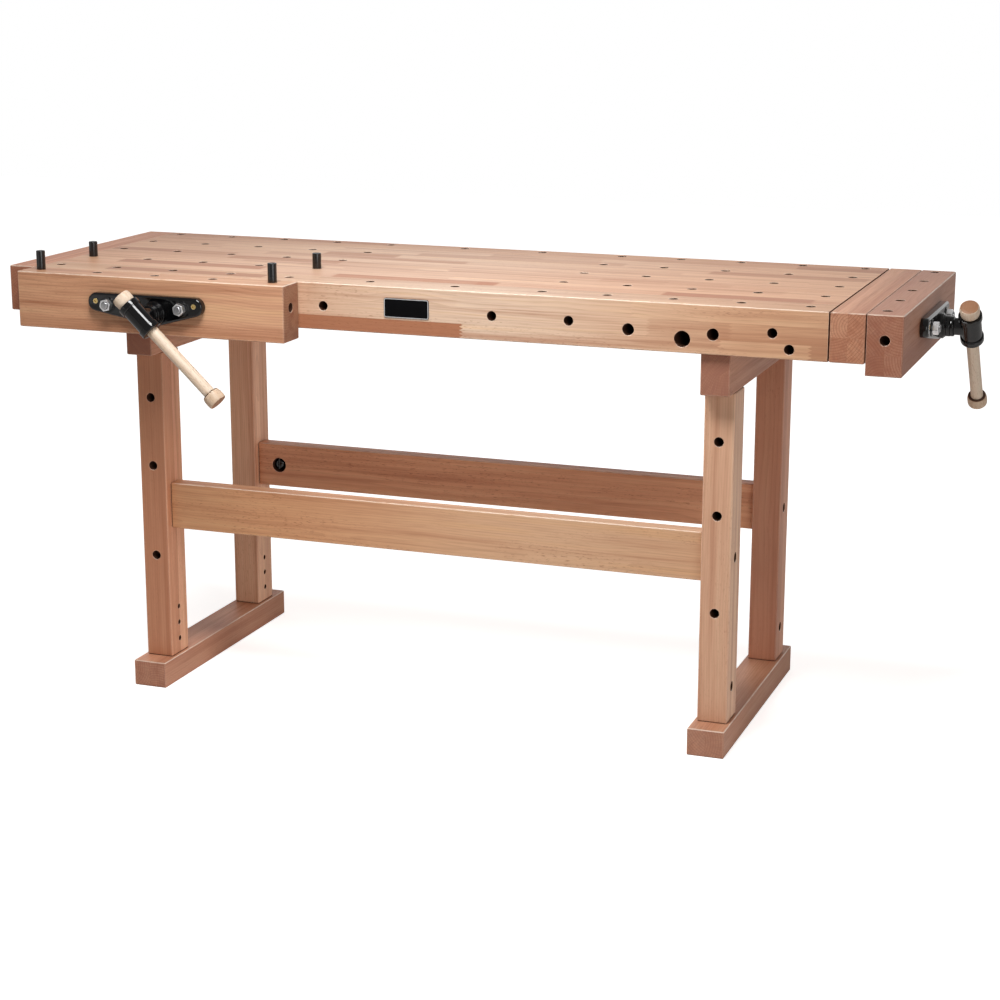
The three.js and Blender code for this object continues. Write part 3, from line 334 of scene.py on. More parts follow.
def pale_beech(name):
    """Unsteamed beech of the turned handles. The grain runs along the piece's own Z."""
    g = new_graph(name)
    x, y, z = place = g.separate(g.place)
    streak = g.stretched_noise(place, (130.0, 130.0, 4.0))
    fibre = g.stretched_noise(place, (700.0, 700.0, 22.0), detail=2.0)
    dash = g.stretched_noise(place, (620.0, 620.0, 120.0), detail=1.0)
    radius = g.math("SQRT", (x + PALE_PITH) ** 2.0 + y ** 2.0)
    late = g.math("FRACT", radius / PALE_RING) ** 2.0
    end = g.span(g.math("ABSOLUTE", g.separate(g.normal)[2]), 0.75, 0.95)
    # The lower knob is darker: partly its own tan, partly painted shade
    foot = g.span(z, (BAR_FOOT + KNOB_TALL + 1.0) * MM, (BAR_FOOT + KNOB_TALL) * MM)
    color = g.layers(
        g.mix(g.span(streak, 0.35, 0.75), PALE_LIGHT, PALE_DARK),
        (late * (end * 0.30 + 0.08), PALE_LINE),
        (g.span(dash, 0.56, 0.72) * 0.42, PALE_LINE),
        (foot * 0.35, PALE_KNOB_TAN_AND_SHADE),
        (end * 0.88, PALE_END),
        (g.edges(0.0020) * 0.20, PALE_EDGE))
    height = fibre * 0.6 + late * -0.3
    return g.finish(color, fibre * 0.18 + 0.36, g.bump(height, 0.00015, 0.5), Specular_IOR_Level=WOOD_SHINE)


PAINT_BLACK = rgb(0.0025, 0.0025, 0.0030)
PAINT_DUST = rgb(0.008, 0.0078, 0.008)
PAINT_EDGE = rgb(0.06, 0.06, 0.065)


def black_enamel(name, gloss, flow, shine=0.62):
    """Black paint on cast iron or steel: gloss is its roughness, flow the unevenness under the paint."""
    g = new_graph(name)
    skin = g.scaled_noise(330.0, detail=2.0)
    cast = g.scaled_noise(85.0)
    dust = g.span(g.scaled_noise(45.0, detail=4.0, roughness=0.7), 0.52, 0.75)
    pale_share = g.edges(0.0010) * g.span(g.scaled_noise(120.0), 0.48, 0.66)
    color = g.layers(PAINT_BLACK, (dust * 0.45, PAINT_DUST), (pale_share * 0.30, PAINT_EDGE))
    rough = dust * 0.05 + gloss + skin * 0.02
    return g.finish(color, rough, g.bump(cast * 0.8 + skin * 0.3, flow, 0.7), Specular_IOR_Level=shine)


METAL_EDGE = rgb(0.88, 0.88, 0.88)
METAL_PAINTED_SHADE = rgb(0.02, 0.018, 0.016)


def bright_metal(name, color, shade, roughness):
    """Plated or turned metal with fine scratches, cloudy plating and painted shade in its recesses."""
    g = new_graph(name)
    cloud = g.scaled_noise(60.0)
    scratch = g.stretched_noise(g.separate(g.place), (1800.0, 240.0, 1800.0), detail=2.0)
    base = g.layers(
        color, (g.span(cloud, 0.35, 0.7), shade), (g.edges(0.0008) * 0.4, METAL_EDGE),
        (g.span(g.openness(0.004), 0.52, 0.10), METAL_PAINTED_SHADE))
    return g.finish(base, cloud * 0.14 + roughness, g.bump(scratch, 0.00004, 0.5), Metallic=1.0)


def leather(name):
    """Dark leather or rubber washer at the foot of a handle; its darkness also paints the shade on the
    lower knob's shoulder.
    """
    g = new_graph(name)
    pores = g.scaled_noise(900.0)
    color = g.mix(g.scaled_noise(140.0, detail=2.0), rgb(0.060, 0.030, 0.018), rgb(0.115, 0.058, 0.034))
    return g.finish(color, pores * 0.3 + 0.55, g.bump(pores, 0.0002, 0.6))


# Boxes that the wood and the holes are set out from
slab_low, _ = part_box("top_slab")
apron_low, apron_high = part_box("front_apron")
rear_low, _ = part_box("rear_apron")
jaw_low, jaw_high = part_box("front_jaw")
tail_low, tail_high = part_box("tail_jaw")
left_low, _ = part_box("left_end_cap")
right_low, right_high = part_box("right_end_cap")


def bench_runs(*staves):
    """Staves with their start and end in millimetres from the bench's left end."""
    places = []
    for row, ply, start, end, depth in staves:
        places.append((row, ply, left_low.x + start * MM, left_low.x + end * MM, depth))
    return places


# Which stock each wooden piece is cut from, with painted light and shade in each board's cast
wood = {
    "top_slab": beech(
        "beech_top", "xyz", 0.47, (0.0434, 0.2), (apron_high.y, 0.8), 3.0, tone=-0.06, spread=0.45,
        fleck=0.6,
        runs=bench_runs(
            (1, 0, 184, 523, 0.75), (5, 0, 72, 368, 0.5), (7, 0, 545, 717, 0.6), (0, 0, 703, 1056, 0.6),
            (7, 0, 1412, 1738, 0.6), (0, 0, 1399, 1693, 0.6), (4, 0, 380, 640, 0.35),
            (9, 0, 900, 1150, 0.35), (3, 0, 560, 830, 0.25), (3, 0, 1230, 1500, 0.25)),
        cast_and_painted_light=(1.04, 0.98, 0.95), painted_light_pool=(left_low.x + 0.82, 0.85, 0.85)),
    "front_apron": beech(
        "beech_front_apron", "xzy", 0.86, (0.0330, 0.0425), (apron_low.z - 0.004, apron_low.y - 0.0205),
        11.0, tone=-0.10, spread=0.5, fleck=1.0,
        runs=bench_runs(
            (0, 0, 60, 1020, 1.05), (0, 0, 1712, 1760, 0.5), (2, 1, 220, 580, 0.75),
            (2, 0, 690, 1010, 0.16), (1, 0, 1400, 1560, 0.22)),
        cast_and_painted_light=(0.92, 0.91, 0.90), painted_light_pool=(left_low.x + 1.02, 0.64, 0.95)),
    "rear_apron": beech(
        "beech_rear_apron", "xzy", 0.80, (0.0330, 0.0425), (apron_low.z - 0.004, rear_low.y), 17.0,
        fleck=0.6, cast_and_painted_light=(1.0, 0.93, 0.90), painted_light_pool=(left_low.x + 0.80, 0.75, 0.50)),
    "left_end_cap": beech(
        "beech_left_cap", "yxz", 0.90, (0.0330, 0.047), (left_low.x, left_low.z), 23.0, tone=0.18,
        spread=0.6, cast_and_painted_light=(1.05, 0.84, 0.79)),
    "right_end_cap": beech(
        "beech_right_cap", "yxz", 0.90, (0.0330, 0.047), (right_low.x, right_low.z), 29.0, tone=0.06,
        spread=0.7, cast_and_painted_light=(0.96, 0.82, 0.79), ends=0.14),
    "front_jaw": beech(
        "beech_front_jaw", "xzy", None, (0.0870, 0.2), (jaw_low.z + 0.021, jaw_low.y - 0.05), 31.0,
        tone=0.05, spread=0.35, fleck=0.5, cast_and_painted_light=(0.90, 0.80, 0.74), painted_light_pool=(left_low.x + 0.70, 0.40, 0.20),
        grain=1.5),
    "tail_jaw": beech(
        "beech_tail_jaw", "yxz", None, (0.0340, 0.039), (tail_low.x, tail_low.z), 37.0, tone=0.10,
        spread=0.7, cast_and_painted_light=(0.82, 0.68, 0.69), ends=0.14, runs=[(1, ply, -2, 2, 0.30) for ply in range(3)]),
}
# The casts of the feet and legs, and the legs' tones, also paint light and shade on whole pieces
FOOT_CASTS_AND_PAINTED_LIGHT = {"left": (0.99, 0.86, 0.87), "right": (1.06, 1.02, 1.07)}
LEG_CASTS_AND_PAINTED_LIGHT = {
    "left_front": (1.16, 1.03, 1.01), "left_rear": (1.28, 1.28, 1.36),
    "right_front": (1.27, 1.38, 1.52), "right_rear": (1.04, 0.90, 0.94),
}
# The darker of the two staves in a leg, front 0 or back 1, and how dark it is
LEG_STAVES = {"left_front": (0, 0.28), "right_front": (1, 0.30)}
LEG_TONES = {"left_front": 0.10, "left_rear": -0.08, "right_front": -0.12, "right_rear": 0.10}
for side, seed in (("left", 41.0), ("right", 53.0)):
    low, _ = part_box(f"{side}_foot")
    wood[f"{side}_foot"] = beech(
        f"beech_{side}_foot", "yxz", None, (0.0375, 0.2), (low.x, -0.05), seed, tone=0.12, spread=0.5,
        cast_and_painted_light=FOOT_CASTS_AND_PAINTED_LIGHT[side])
    # The bearers' dark end grain and cast also paint the shade under the apron on the bearer's front
    low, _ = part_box(f"{side}_bearer")
    wood[f"{side}_bearer"] = beech(
        f"beech_{side}_bearer", "yzx", None, (0.041, 0.2), (low.z, -1.0), seed + 2.0, tone=0.16, spread=0.5,
        cast_and_painted_light=(0.97, 0.83, 0.82), ends=0.74)
    for row, more in (("front", 4.0), ("rear", 6.0)):
        leg = f"{side}_{row}"
        low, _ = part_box(f"{leg}_leg")
        dark, depth = LEG_STAVES.get(leg, (0, 0.0))
        wood[f"{leg}_leg"] = beech(
            f"beech_{leg}_leg", "zyx", None, (0.037, 0.2), (low.y, low.x - 0.05), seed + more,
            tone=LEG_TONES[leg], spread=0.5, fleck=0.6, cast_and_painted_light=LEG_CASTS_AND_PAINTED_LIGHT[leg], runs=[(dark, 0, -2, 2, depth)])
for row, seed, cast_and_painted_light, painted_light_pool in (
        ("front", 71.0, (0.90, 0.80, 0.68), (left_low.x + 1.25, 0.75, 0.78)),
        ("rear", 73.0, (1.0, 0.83, 0.78), None)):
    low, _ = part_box(f"{row}_stretcher")
    wood[f"{row}_stretcher"] = beech(
        f"beech_{row}_stretcher", "xzy", None, (0.12, 0.2), (low.z - 0.01, low.y - 0.05), seed,
        tone=0.02, spread=0.4, fleck=1.0, cast_and_painted_light=cast_and_painted_light, painted_light_pool=painted_light_pool)

ENAMEL = black_enamel("black_enamel", 0.05, 0.00012, 0.46)
SATIN = black_enamel("satin_black", 0.20, 0.00005)
PLATE_BLACK = black_enamel("plate_black", 0.50, 0.00003, 0.05)
OXIDE = black_enamel("black_oxide", 0.12, 0.00003, 0.6)
ZINC = bright_metal("bright_zinc", rgb(0.90, 0.90, 0.91), rgb(0.72, 0.73, 0.75), 0.30)
STEEL = bright_metal("ground_steel", rgb(0.46, 0.46, 0.47), rgb(0.30, 0.30, 0.31), 0.30)
YELLOW_ZINC = bright_metal("yellow_zinc", rgb(0.86, 0.66, 0.28), rgb(0.66, 0.45, 0.16), 0.20)
ALUMINIUM = bright_metal("aluminium_rim", rgb(0.86, 0.86, 0.87), rgb(0.70, 0.70, 0.71), 0.50)
HANDLE = pale_beech("pale_beech_handle")
HOLE_WALL_SHADE = hole_wall_shade_wood("hole_wall_shade")
LEATHER_AND_SHADE = leather("dark_washer")


def dress(mesh, *materials):
    mesh.materials.clear()
    for material in materials:
        mesh.materials.append(material)


for node, material in wood.items():
    dress(NODES[node].data, material)
for node, obj in NODES.items():
    if node.endswith(("barrel_nut", "bolt")):
        dress(obj.data, ZINC)
    elif node.endswith("nut_casting"):
        dress(obj.data, ENAMEL)
    elif node.endswith("collar"):
        dress(obj.data, STEEL)
dress(NODES["name_plate"].data, PLATE_BLACK)


# Meshes
ROUND = 64                  # facets round a turned piece
FINE_ROUND = 48             # facets round a small piece or a hole
COARSE_ROUND = 32           # facets round a hidden thread
HEXAGON = 6
CREASE = 32                 # edges of more degrees than this stay sharp
AXIS_GAP = 1e-6             # a radius below this is on the axis
MERGE_GAP = 0.000004        # corners closer than this become one


def new_piece(name, mesh, body, material, matrix=None, replaces=()):
    obj = bpy.data.objects.new(name, mesh)
    bpy.context.scene.collection.objects.link(obj)
    if matrix is not None:
        obj.matrix_world = matrix
    if material is not None:
        dress(mesh, material)
    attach(obj, body)
    if replaces:
        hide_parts(*replaces)
    return obj


def to_mesh(name, build):
    mesh = bpy.data.meshes.new(name)
    build.to_mesh(mesh)
    build.free()
    return mesh


def smooth_by_angle(mesh, degrees=CREASE):
    """Smooth shading, with sharp edges where faces meet at more than an angle."""
    build = bmesh.new()
    build.from_mesh(mesh)
    limit = math.radians(degrees)
    for face in build.faces:
        face.smooth = True
    for edge in build.edges:
        edge.smooth = len(edge.link_faces) == 2 and edge.calc_face_angle() < limit
    build.to_mesh(mesh)
    build.free()
    return mesh


def polar(radius, turn, height):
    """A point in metres, from millimetres and an angle about Z."""
    return (radius * math.cos(turn) * MM, radius * math.sin(turn) * MM, height * MM)


def even_turns(count):
    return [2 * math.pi * step / count for step in range(count)]


def lathe_mesh(name, profile, radii=None, segments=ROUND):
    """A closed mesh turned about Z from (radius, height) points in millimetres, from axis to axis.

    radii gives the roundings of the profile's corners, by index.
    """
    build = bmesh.new()
    rings = []
    for radius, height in soften(profile, radii or {}):
        turns = even_turns(1 if radius < AXIS_GAP else segments)
        rings.append([build.verts.new(polar(radius, turn, height)) for turn in turns])
    for lower, upper in zip(rings, rings[1:]):
        for step in range(segments):
            after = (step + 1) % segments
            corners = [lower[step % len(lower)], lower[after % len(lower)],
                       upper[after % len(upper)], upper[step % len(upper)]]
            unique = list(dict.fromkeys(corners))
            if len(unique) > 2:
                build.faces.new(unique)
    bmesh.ops.recalc_face_normals(build, faces=build.faces)
    return smooth_by_angle(to_mesh(name, build))


def plug_mesh(name, radius, low, high, **settings):
    """A plain cylinder about Z, in millimetres."""
    return lathe_mesh(name, [(0, low), (radius, low), (radius, high), (0, high)], **settings)


def ring_mesh(name, rings, capped=True):
    """Walls through rings of points in metres, with flat ends or closed from the last ring to the first."""
    build = bmesh.new()
    loops = [[build.verts.new(point) for point in ring] for ring in rings]
    pairs = list(zip(loops, loops[1:]))
    if capped:
        build.faces.new(list(reversed(loops[0])))
        build.faces.new(loops[-1])
    else:
        pairs.append((loops[-1], loops[0]))
    for here, there in pairs:
        for step in range(len(here)):
            after = (step + 1) % len(here)
            build.faces.new((here[step], here[after], there[after], there[step]))
    bmesh.ops.recalc_face_normals(build, faces=build.faces)
    return to_mesh(name, build)


def hexagon_mesh(flats, low, high):
    """A hexagonal prism along +Z in millimetres, by its width across flats."""
    radius = flats / 2 / math.cos(math.pi / HEXAGON)
    turns = even_turns(HEXAGON)
    return ring_mesh("prism", [[polar(radius, turn, level) for turn in turns] for level in (low, high)])


def rounded(corner, start, end, radius, steps=5):
    """Points that round a profile's corner, coming from start and leaving to end."""
    here = Vector(corner)
    back = (Vector(start) - here).normalized()
    ahead = (Vector(end) - here).normalized()
    half = back.angle(ahead) / 2
    reach = radius / math.tan(half)
    middle = here + (back + ahead).normalized() * (radius / math.sin(half))
    first, last = here + back * reach - middle, here + ahead * reach - middle
    sweep = first.angle_signed(last)
    points = []
    for step in range(steps + 1):
        turned = first.copy()
        turned.rotate(Matrix.Rotation(-sweep * step / steps, 2))
        points.append(tuple(middle + turned))
    return points


def soften(profile, radii):
    """A profile with the corners listed in radii, by index, rounded."""
    out = []
    for index, point in enumerate(profile):
        if index in radii:
            out += rounded(point, profile[index - 1], profile[index + 1], radii[index])
        else:
            out.append(point)
    return out


def boolean(target, tools, operation):
    """Joins or cuts meshes and returns one new mesh. The helper objects are removed."""
    scene = bpy.context.scene.collection
    holder = bpy.data.objects.new("boolean_holder", target)
    scene.objects.link(holder)
    helpers = []
    for tool in tools:
        helper = bpy.data.objects.new("boolean_tool", tool)
        scene.objects.link(helper)
        helpers.append(helper)
        modifier = holder.modifiers.new("boolean", "BOOLEAN")
        modifier.operation = operation
        modifier.solver = "EXACT"
        modifier.material_mode = "TRANSFER"
        modifier.object = helper
    bpy.context.view_layer.update()
    graph = bpy.context.evaluated_depsgraph_get()
    result = bpy.data.meshes.new_from_object(holder.evaluated_get(graph))
    for obj in [holder, *helpers]:
        bpy.data.objects.remove(obj)
    build = bmesh.new()
    build.from_mesh(result)
    bmesh.ops.remove_doubles(build, verts=build.verts, dist=MERGE_GAP)
    bmesh.ops.dissolve_degenerate(build, edges=build.edges, dist=MERGE_GAP)
    bmesh.ops.holes_fill(build, edges=[edge for edge in build.edges if edge.is_boundary])
    build.to_mesh(result)
    build.free()
    return result


def moved(mesh, matrix):
    mesh.transform(matrix)
    return mesh


def shift(x, y=0.0, z=0.0):
    """A move by millimetres."""
    return Matrix.Translation((x * MM, y * MM, z * MM))


def axis_matrix(origin, direction):
    """Local Z along a direction, at a place."""
    return Matrix.Translation(origin) @ Vector(direction).to_track_quat("Z", "Y").to_matrix().to_4x4()


def middle_of(node):
    low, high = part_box(node)
    return (low + high) / 2


def vise_frame(prefix):
    """X across, Y up and Z outward, at the middle of the rods on the jaw's outer face."""
    rods = (middle_of(f"{prefix}_guide_rod_near") + middle_of(f"{prefix}_guide_rod_far")) / 2
    low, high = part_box(f"{prefix}_jaw")
    if prefix == "front":
        across, outward = Vector((1, 0, 0)), Vector((0, -1, 0))
        origin = Vector((rods.x, low.y, rods.z))
    else:
        across, outward = Vector((0, 1, 0)), Vector((1, 0, 0))
        origin = Vector((high.x, rods.y, rods.z))
    up = Vector((0, 0, 1))
    matrix = Matrix((across, up, outward)).transposed().to_4x4()
    return Matrix.Translation(origin) @ matrix


# Sizes of the vise hardware in millimetres, as in the CAD
ROD_HALF = 83.0
SCREW_AT = (23.5, -12.0)
SEAM = 0.3
CAST_HALF = 130.0
CAST_TOP = 23.0
CAST_END = 19.0
CAST_BOSS = 26.5
CAST_FACE = 16.3
CAST_ROUND = 5.0
CAST_EASE = 0.6
PAD_HEIGHT = 1.5
PAD_RADIUS = 16.5
BOSS_HEIGHT = 20.0
HUB_REACH = 75.3
HUB_HALF = 36.5
HUB_BORE = 13.0
HUB_WALL = 4.0
ROD_RADIUS = 10.0
STUD_RADIUS = 7.0
STUD_BORE = 7.3
STUD_THREAD = 14.0
STUD_PITCH = 1.9
STUD_PAST = 3.0
NUT_TALL = 12.0
NUT_FLATS = 22.0
SCREW_RADIUS = 12.0
SCREW_CORE = 9.6
SCREW_BORE = 12.6
SCREW_PITCH = 6.0
SCREW_SHANK = 8.0           # how far before the jaw's inner face the thread begins
SPIGOT_RADIUS = 7.0
SPIGOT_LONG = 18.0
DOG_RADIUS = 9.2
ROOT = 6.0                  # where a boss or pad begins inside the casting
CUT_LOW, CUT_HIGH = -5.0, 60.0
CAST_STEPS = 8              # facets over the casting's rounded edge
WOOD_SCREWS = ((-111.5, 6.0), (111.5, 6.0))     # places of the screws that hold the casting on the jaw


def casting_ring(inset, steps=14):
    """The casting's outline, moved inward by an inset, as (across, up) points."""
    end, boss = CAST_END - inset, CAST_BOSS - inset
    left = Vector((-(CAST_HALF - CAST_END), CAST_TOP - CAST_END))
    right = Vector((CAST_HALF - CAST_END, CAST_TOP - CAST_END))
    centre = Vector(SCREW_AT)

    def under(first, first_radius, second, second_radius):
        run = second - first
        lean = math.asin((second_radius - first_radius) / run.length)
        return math.atan2(run.y, run.x) - math.pi / 2 - lean

    low_left = under(left, end, centre, boss)
    low_right = under(centre, boss, right, end)
    points = []
    for middle, radius, start, stop in (
            (left, end, math.pi / 2, 2 * math.pi + low_left),
            (centre, boss, low_left, low_right),
            (right, end, low_right, math.pi / 2)):
        for step in range(steps + 1):
            turn = start + (stop - start) * step / steps
            points.append((middle.x + radius * math.cos(turn), middle.y + radius * math.sin(turn)))
    return points


def casting_mesh():
    """The outer casting: a waisted plate with a boss, two pads, their bores and the screws' sinks."""
    levels = [(CAST_EASE, SEAM), (0.0, SEAM + CAST_EASE), (0.0, CAST_FACE - CAST_ROUND)]
    for step in range(1, CAST_STEPS + 1):
        turn = math.pi / 2 * step / CAST_STEPS
        level = CAST_FACE - CAST_ROUND + CAST_ROUND * math.sin(turn)
        levels.append((CAST_ROUND * (1 - math.cos(turn)), level))
    plate = ring_mesh("casting_plate", [
        [(x * MM, y * MM, level * MM) for x, y in casting_ring(inset)] for inset, level in levels])
    face = CAST_FACE
    end = face + BOSS_HEIGHT
    boss = lathe_mesh("casting_boss", [
        (0, ROOT), (25, ROOT), (25, face + 7), (22.4, face + 7), (22.4, face + 9.5), (20.5, face + 9.5),
        (20.5, face + 12), (19.6, face + 12.5), (20.5, face + 13), (20.5, end), (0, end),
    ], {2: 1.6, 4: 0.8, 9: 1.5})
    solids = [moved(boss, shift(*SCREW_AT))]
    bores = []
    for at in (-ROD_HALF, ROD_HALF):
        pad = plug_mesh("casting_pad", PAD_RADIUS, ROOT, face + PAD_HEIGHT, radii={2: 0.9})
        solids.append(moved(pad, shift(at)))
    for place, radius in (((-ROD_HALF, 0), STUD_BORE), ((ROD_HALF, 0), STUD_BORE), (SCREW_AT, SCREW_BORE)):
        bores.append(moved(plug_mesh("casting_bore", radius, CUT_LOW, CUT_HIGH), shift(*place)))
    for place in WOOD_SCREWS:
        sink = [(0, CUT_LOW), (2.6, CUT_LOW), (2.6, face - 3.4), (5.8, face - 0.2)]
        sink += [(5.8, CUT_HIGH), (0, CUT_HIGH)]
        bores.append(moved(lathe_mesh("casting_sink", sink), shift(*place)))
    return smooth_by_angle(boolean(boolean(plate, solids, "UNION"), bores, "DIFFERENCE"))


def screw_head_mesh():
    """A countersunk socket head: a gold rim round a six-sided recess."""
    top = CAST_FACE - 0.2
    head = lathe_mesh("screw_head", [
        (0, top - 6.5), (2.2, top - 6.5), (2.3, top - 3.4), (5.5, top - 0.5), (5.2, top), (0, top),
    ], {4: 0.25}, FINE_ROUND)
    return smooth_by_angle(boolean(head, [hexagon_mesh(5.4, top - 2.2, top + 2.0)], "DIFFERENCE"))


def handle_direction(tilt):
    """The handle's upward direction in the vise frame."""
    lean = math.radians(tilt)
    return Vector((-math.sin(lean), math.cos(lean), 0))


def hub_mesh(tilt):
    """The tee on the screw's end, in the vise frame but centred on the screw's axis."""
    rim, groove, body = 23.0, 21.9, 20.5
    half = HUB_HALF
    lower = [
        (rim, -half), (rim, 11.4 - half), (groove, 12.2 - half), (groove, 13.4 - half), (body, 13.6 - half)]
    upper = [(radius, -height) for radius, height in reversed(lower)]
    along = axis_matrix(Vector((0, 0, HUB_REACH * MM)), handle_direction(tilt))
    tube = lathe_mesh(
        "hub_tube", [(0, -half), *lower, *upper, (0, half)], {1: 1.5, 2: 0.5, 9: 0.5, 10: 1.5})
    moved(tube, along)
    foot = CAST_FACE + BOSS_HEIGHT + SEAM
    stem = lathe_mesh("hub_stem", [
        (0, foot), (20, foot), (20, foot + 6), (17, foot + 7.5), (17, HUB_REACH), (0, HUB_REACH),
    ], {1: 0.8, 2: 1.2})
    eye = moved(plug_mesh("hub_eye", HUB_BORE, -CUT_HIGH, CUT_HIGH), along)
    socket = plug_mesh("hub_socket", SCREW_RADIUS + SEAM, 10, HUB_REACH - HUB_BORE - HUB_WALL + SEAM)
    return smooth_by_angle(boolean(boolean(tube, [stem], "UNION"), [eye, socket], "DIFFERENCE"), degrees=34)


def handle_bar_mesh():
    """The handle's bar with its lower knob, and a spigot for the upper one."""
    foot = BAR_FOOT
    seat = KNOB_SEAT - SEAM
    end = seat + SPIGOT_LONG
    knob = KNOB_RADIUS
    return lathe_mesh("handle_bar", [
        (0, foot + 0.8), (knob - 6, foot), (knob - 0.6, foot + 1.2), (knob, foot + 8),
        (knob - 0.2, foot + 17), (knob - 1.6, foot + KNOB_TALL), (HANDLE_RADIUS + 0.05, foot + KNOB_TALL),
        (HANDLE_RADIUS - 0.1, foot + 90), (HANDLE_RADIUS, foot + 190), (HANDLE_RADIUS, seat),
        (SPIGOT_RADIUS, seat), (SPIGOT_RADIUS, end), (0, end),
    ], {1: 6.0, 2: 3.0, 3: 5.0, 4: 5.0, 5: 1.4})


def handle_knob_mesh():
    """The handle's upper knob, hollowed for the bar's spigot."""
    knob = KNOB_RADIUS
    hole = SPIGOT_RADIUS + SEAM
    top = KNOB_SEAT + KNOB_TALL
    floor_at = KNOB_SEAT + SPIGOT_LONG
    return lathe_mesh("handle_knob", [
        (0, floor_at), (hole, floor_at), (hole, KNOB_SEAT), (knob - 2.2, KNOB_SEAT),
        (knob - 0.7, KNOB_SEAT + 6), (knob, top - 8), (knob - 1.5, top - 1.6), (knob - 8, top - 0.2),
        (0, top),
    ], {3: 1.6, 4: 6.0, 5: 4.0, 6: 2.6, 7: 6.0})


def washer_mesh():
    """The thin washer on the lower knob."""
    low = BAR_FOOT + KNOB_TALL + SEAM
    high = low + WASHER_THICK
    inner, outer = HANDLE_RADIUS + 0.3, KNOB_RADIUS - 2.5
    section = [(inner, low), *rounded((outer, low), (inner, low), (outer, high), 0.5)]
    section += [*rounded((outer, high), (outer, low), (inner, high), 0.5), (inner, high)]
    rings = [[polar(radius, turn, level) for radius, level in section] for turn in even_turns(ROUND)]
    return smooth_by_angle(ring_mesh("handle_washer", rings, False), degrees=40)


def thread_mesh(start, end, tip, major=SCREW_RADIUS, minor=SCREW_CORE, pitch=SCREW_PITCH, steps=24):
    """A screw along +Z in millimetres: plain from start to tip, then a trapezoid thread to its end.

    The thread is a closed helical ridge sunk in the core, which fades in and out over half a turn.
    """
    mesh = lathe_mesh("screw_core", [
        (0, start), (major, start), (major, tip), (minor, tip + 2), (minor, end - 2), (minor - 2, end),
        (0, end),
    ], {1: 0.8})
    sunk = minor - 0.5
    section = [(sunk, -2.2), (major, -1.1), (major, 1.1), (sunk, 2.2)]
    count = (int((end - tip) / pitch) - 2) * steps
    rings = []
    for step in range(count + 1):
        turn = 2 * math.pi * step / steps
        climb = tip + 5.0 + pitch * step / steps
        fade = min(1.0, step / steps * 2, (count - step) / steps * 2)
        ring = [(sunk + (radius - sunk) * fade, climb + along) for radius, along in section]
        rings.append([polar(radius, turn, level) for radius, level in ring])
    joined = bmesh.new()
    joined.from_mesh(mesh)
    joined.from_mesh(ring_mesh("screw_ridge", rings))
    joined.to_mesh(mesh)
    joined.free()
    return smooth_by_angle(mesh)


def nut_mesh(low):
    """A hexagon nut along +Z in millimetres, chamfered on both faces."""
    half, end, bore = NUT_FLATS / 2, low + NUT_TALL, STUD_BORE
    cone = lathe_mesh("nut_cone", [
        (0, low), (half - 0.4, low), (half + 3.2, low + 1.9), (half + 3.2, end - 1.9), (half - 0.6, end),
        (0, end)])
    through = lathe_mesh("nut_bore", [
        (0, low - 2), (bore + 2, low - 2), (bore, low + 1), (bore, end - 1), (bore + 3, end + 2),
        (0, end + 2)])
    blank = boolean(hexagon_mesh(NUT_FLATS, low, end), [cone], "INTERSECT")
    return smooth_by_angle(boolean(blank, [through], "DIFFERENCE"), degrees=25)


def rod_mesh(tip, end):
    """A guide rod along +Z in millimetres from its stud's tip, with thread grooves on the stud."""
    profile = [(0, tip), (STUD_RADIUS - 1.0, tip)]
    at = tip + 1.0
    while at < tip + STUD_THREAD:
        profile += [(STUD_RADIUS, at), (STUD_RADIUS, at + 0.9), (STUD_RADIUS - 0.7, at + 1.4)]
        at += STUD_PITCH
    profile += [(STUD_RADIUS, at), (STUD_RADIUS, 0.0), (ROD_RADIUS, 0.0), (ROD_RADIUS, end - 1.5)]
    return lathe_mesh("guide_rod", [*profile, (ROD_RADIUS - 1.5, end), (0, end)], segments=FINE_ROUND)


def dog_mesh(low, high):
    """A round bench dog from low to high in millimetres, with a shallow dished top."""
    radius = DOG_RADIUS
    return lathe_mesh("bench_dog", [
        (0, low), (radius, low), (radius, high - 0.9), (radius - 0.9, high), (radius - 2.2, high),
        (radius - 3.0, high - 0.5), (0, high - 0.6),
    ], {1: 0.8, 2: 0.4, 3: 0.4})


CASTING = casting_mesh()
SCREW_HEAD = screw_head_mesh()
TILTS = {"front": 46.5, "tail": 40.0}
NUT_TURNS = {"near": 14, "far": 41}

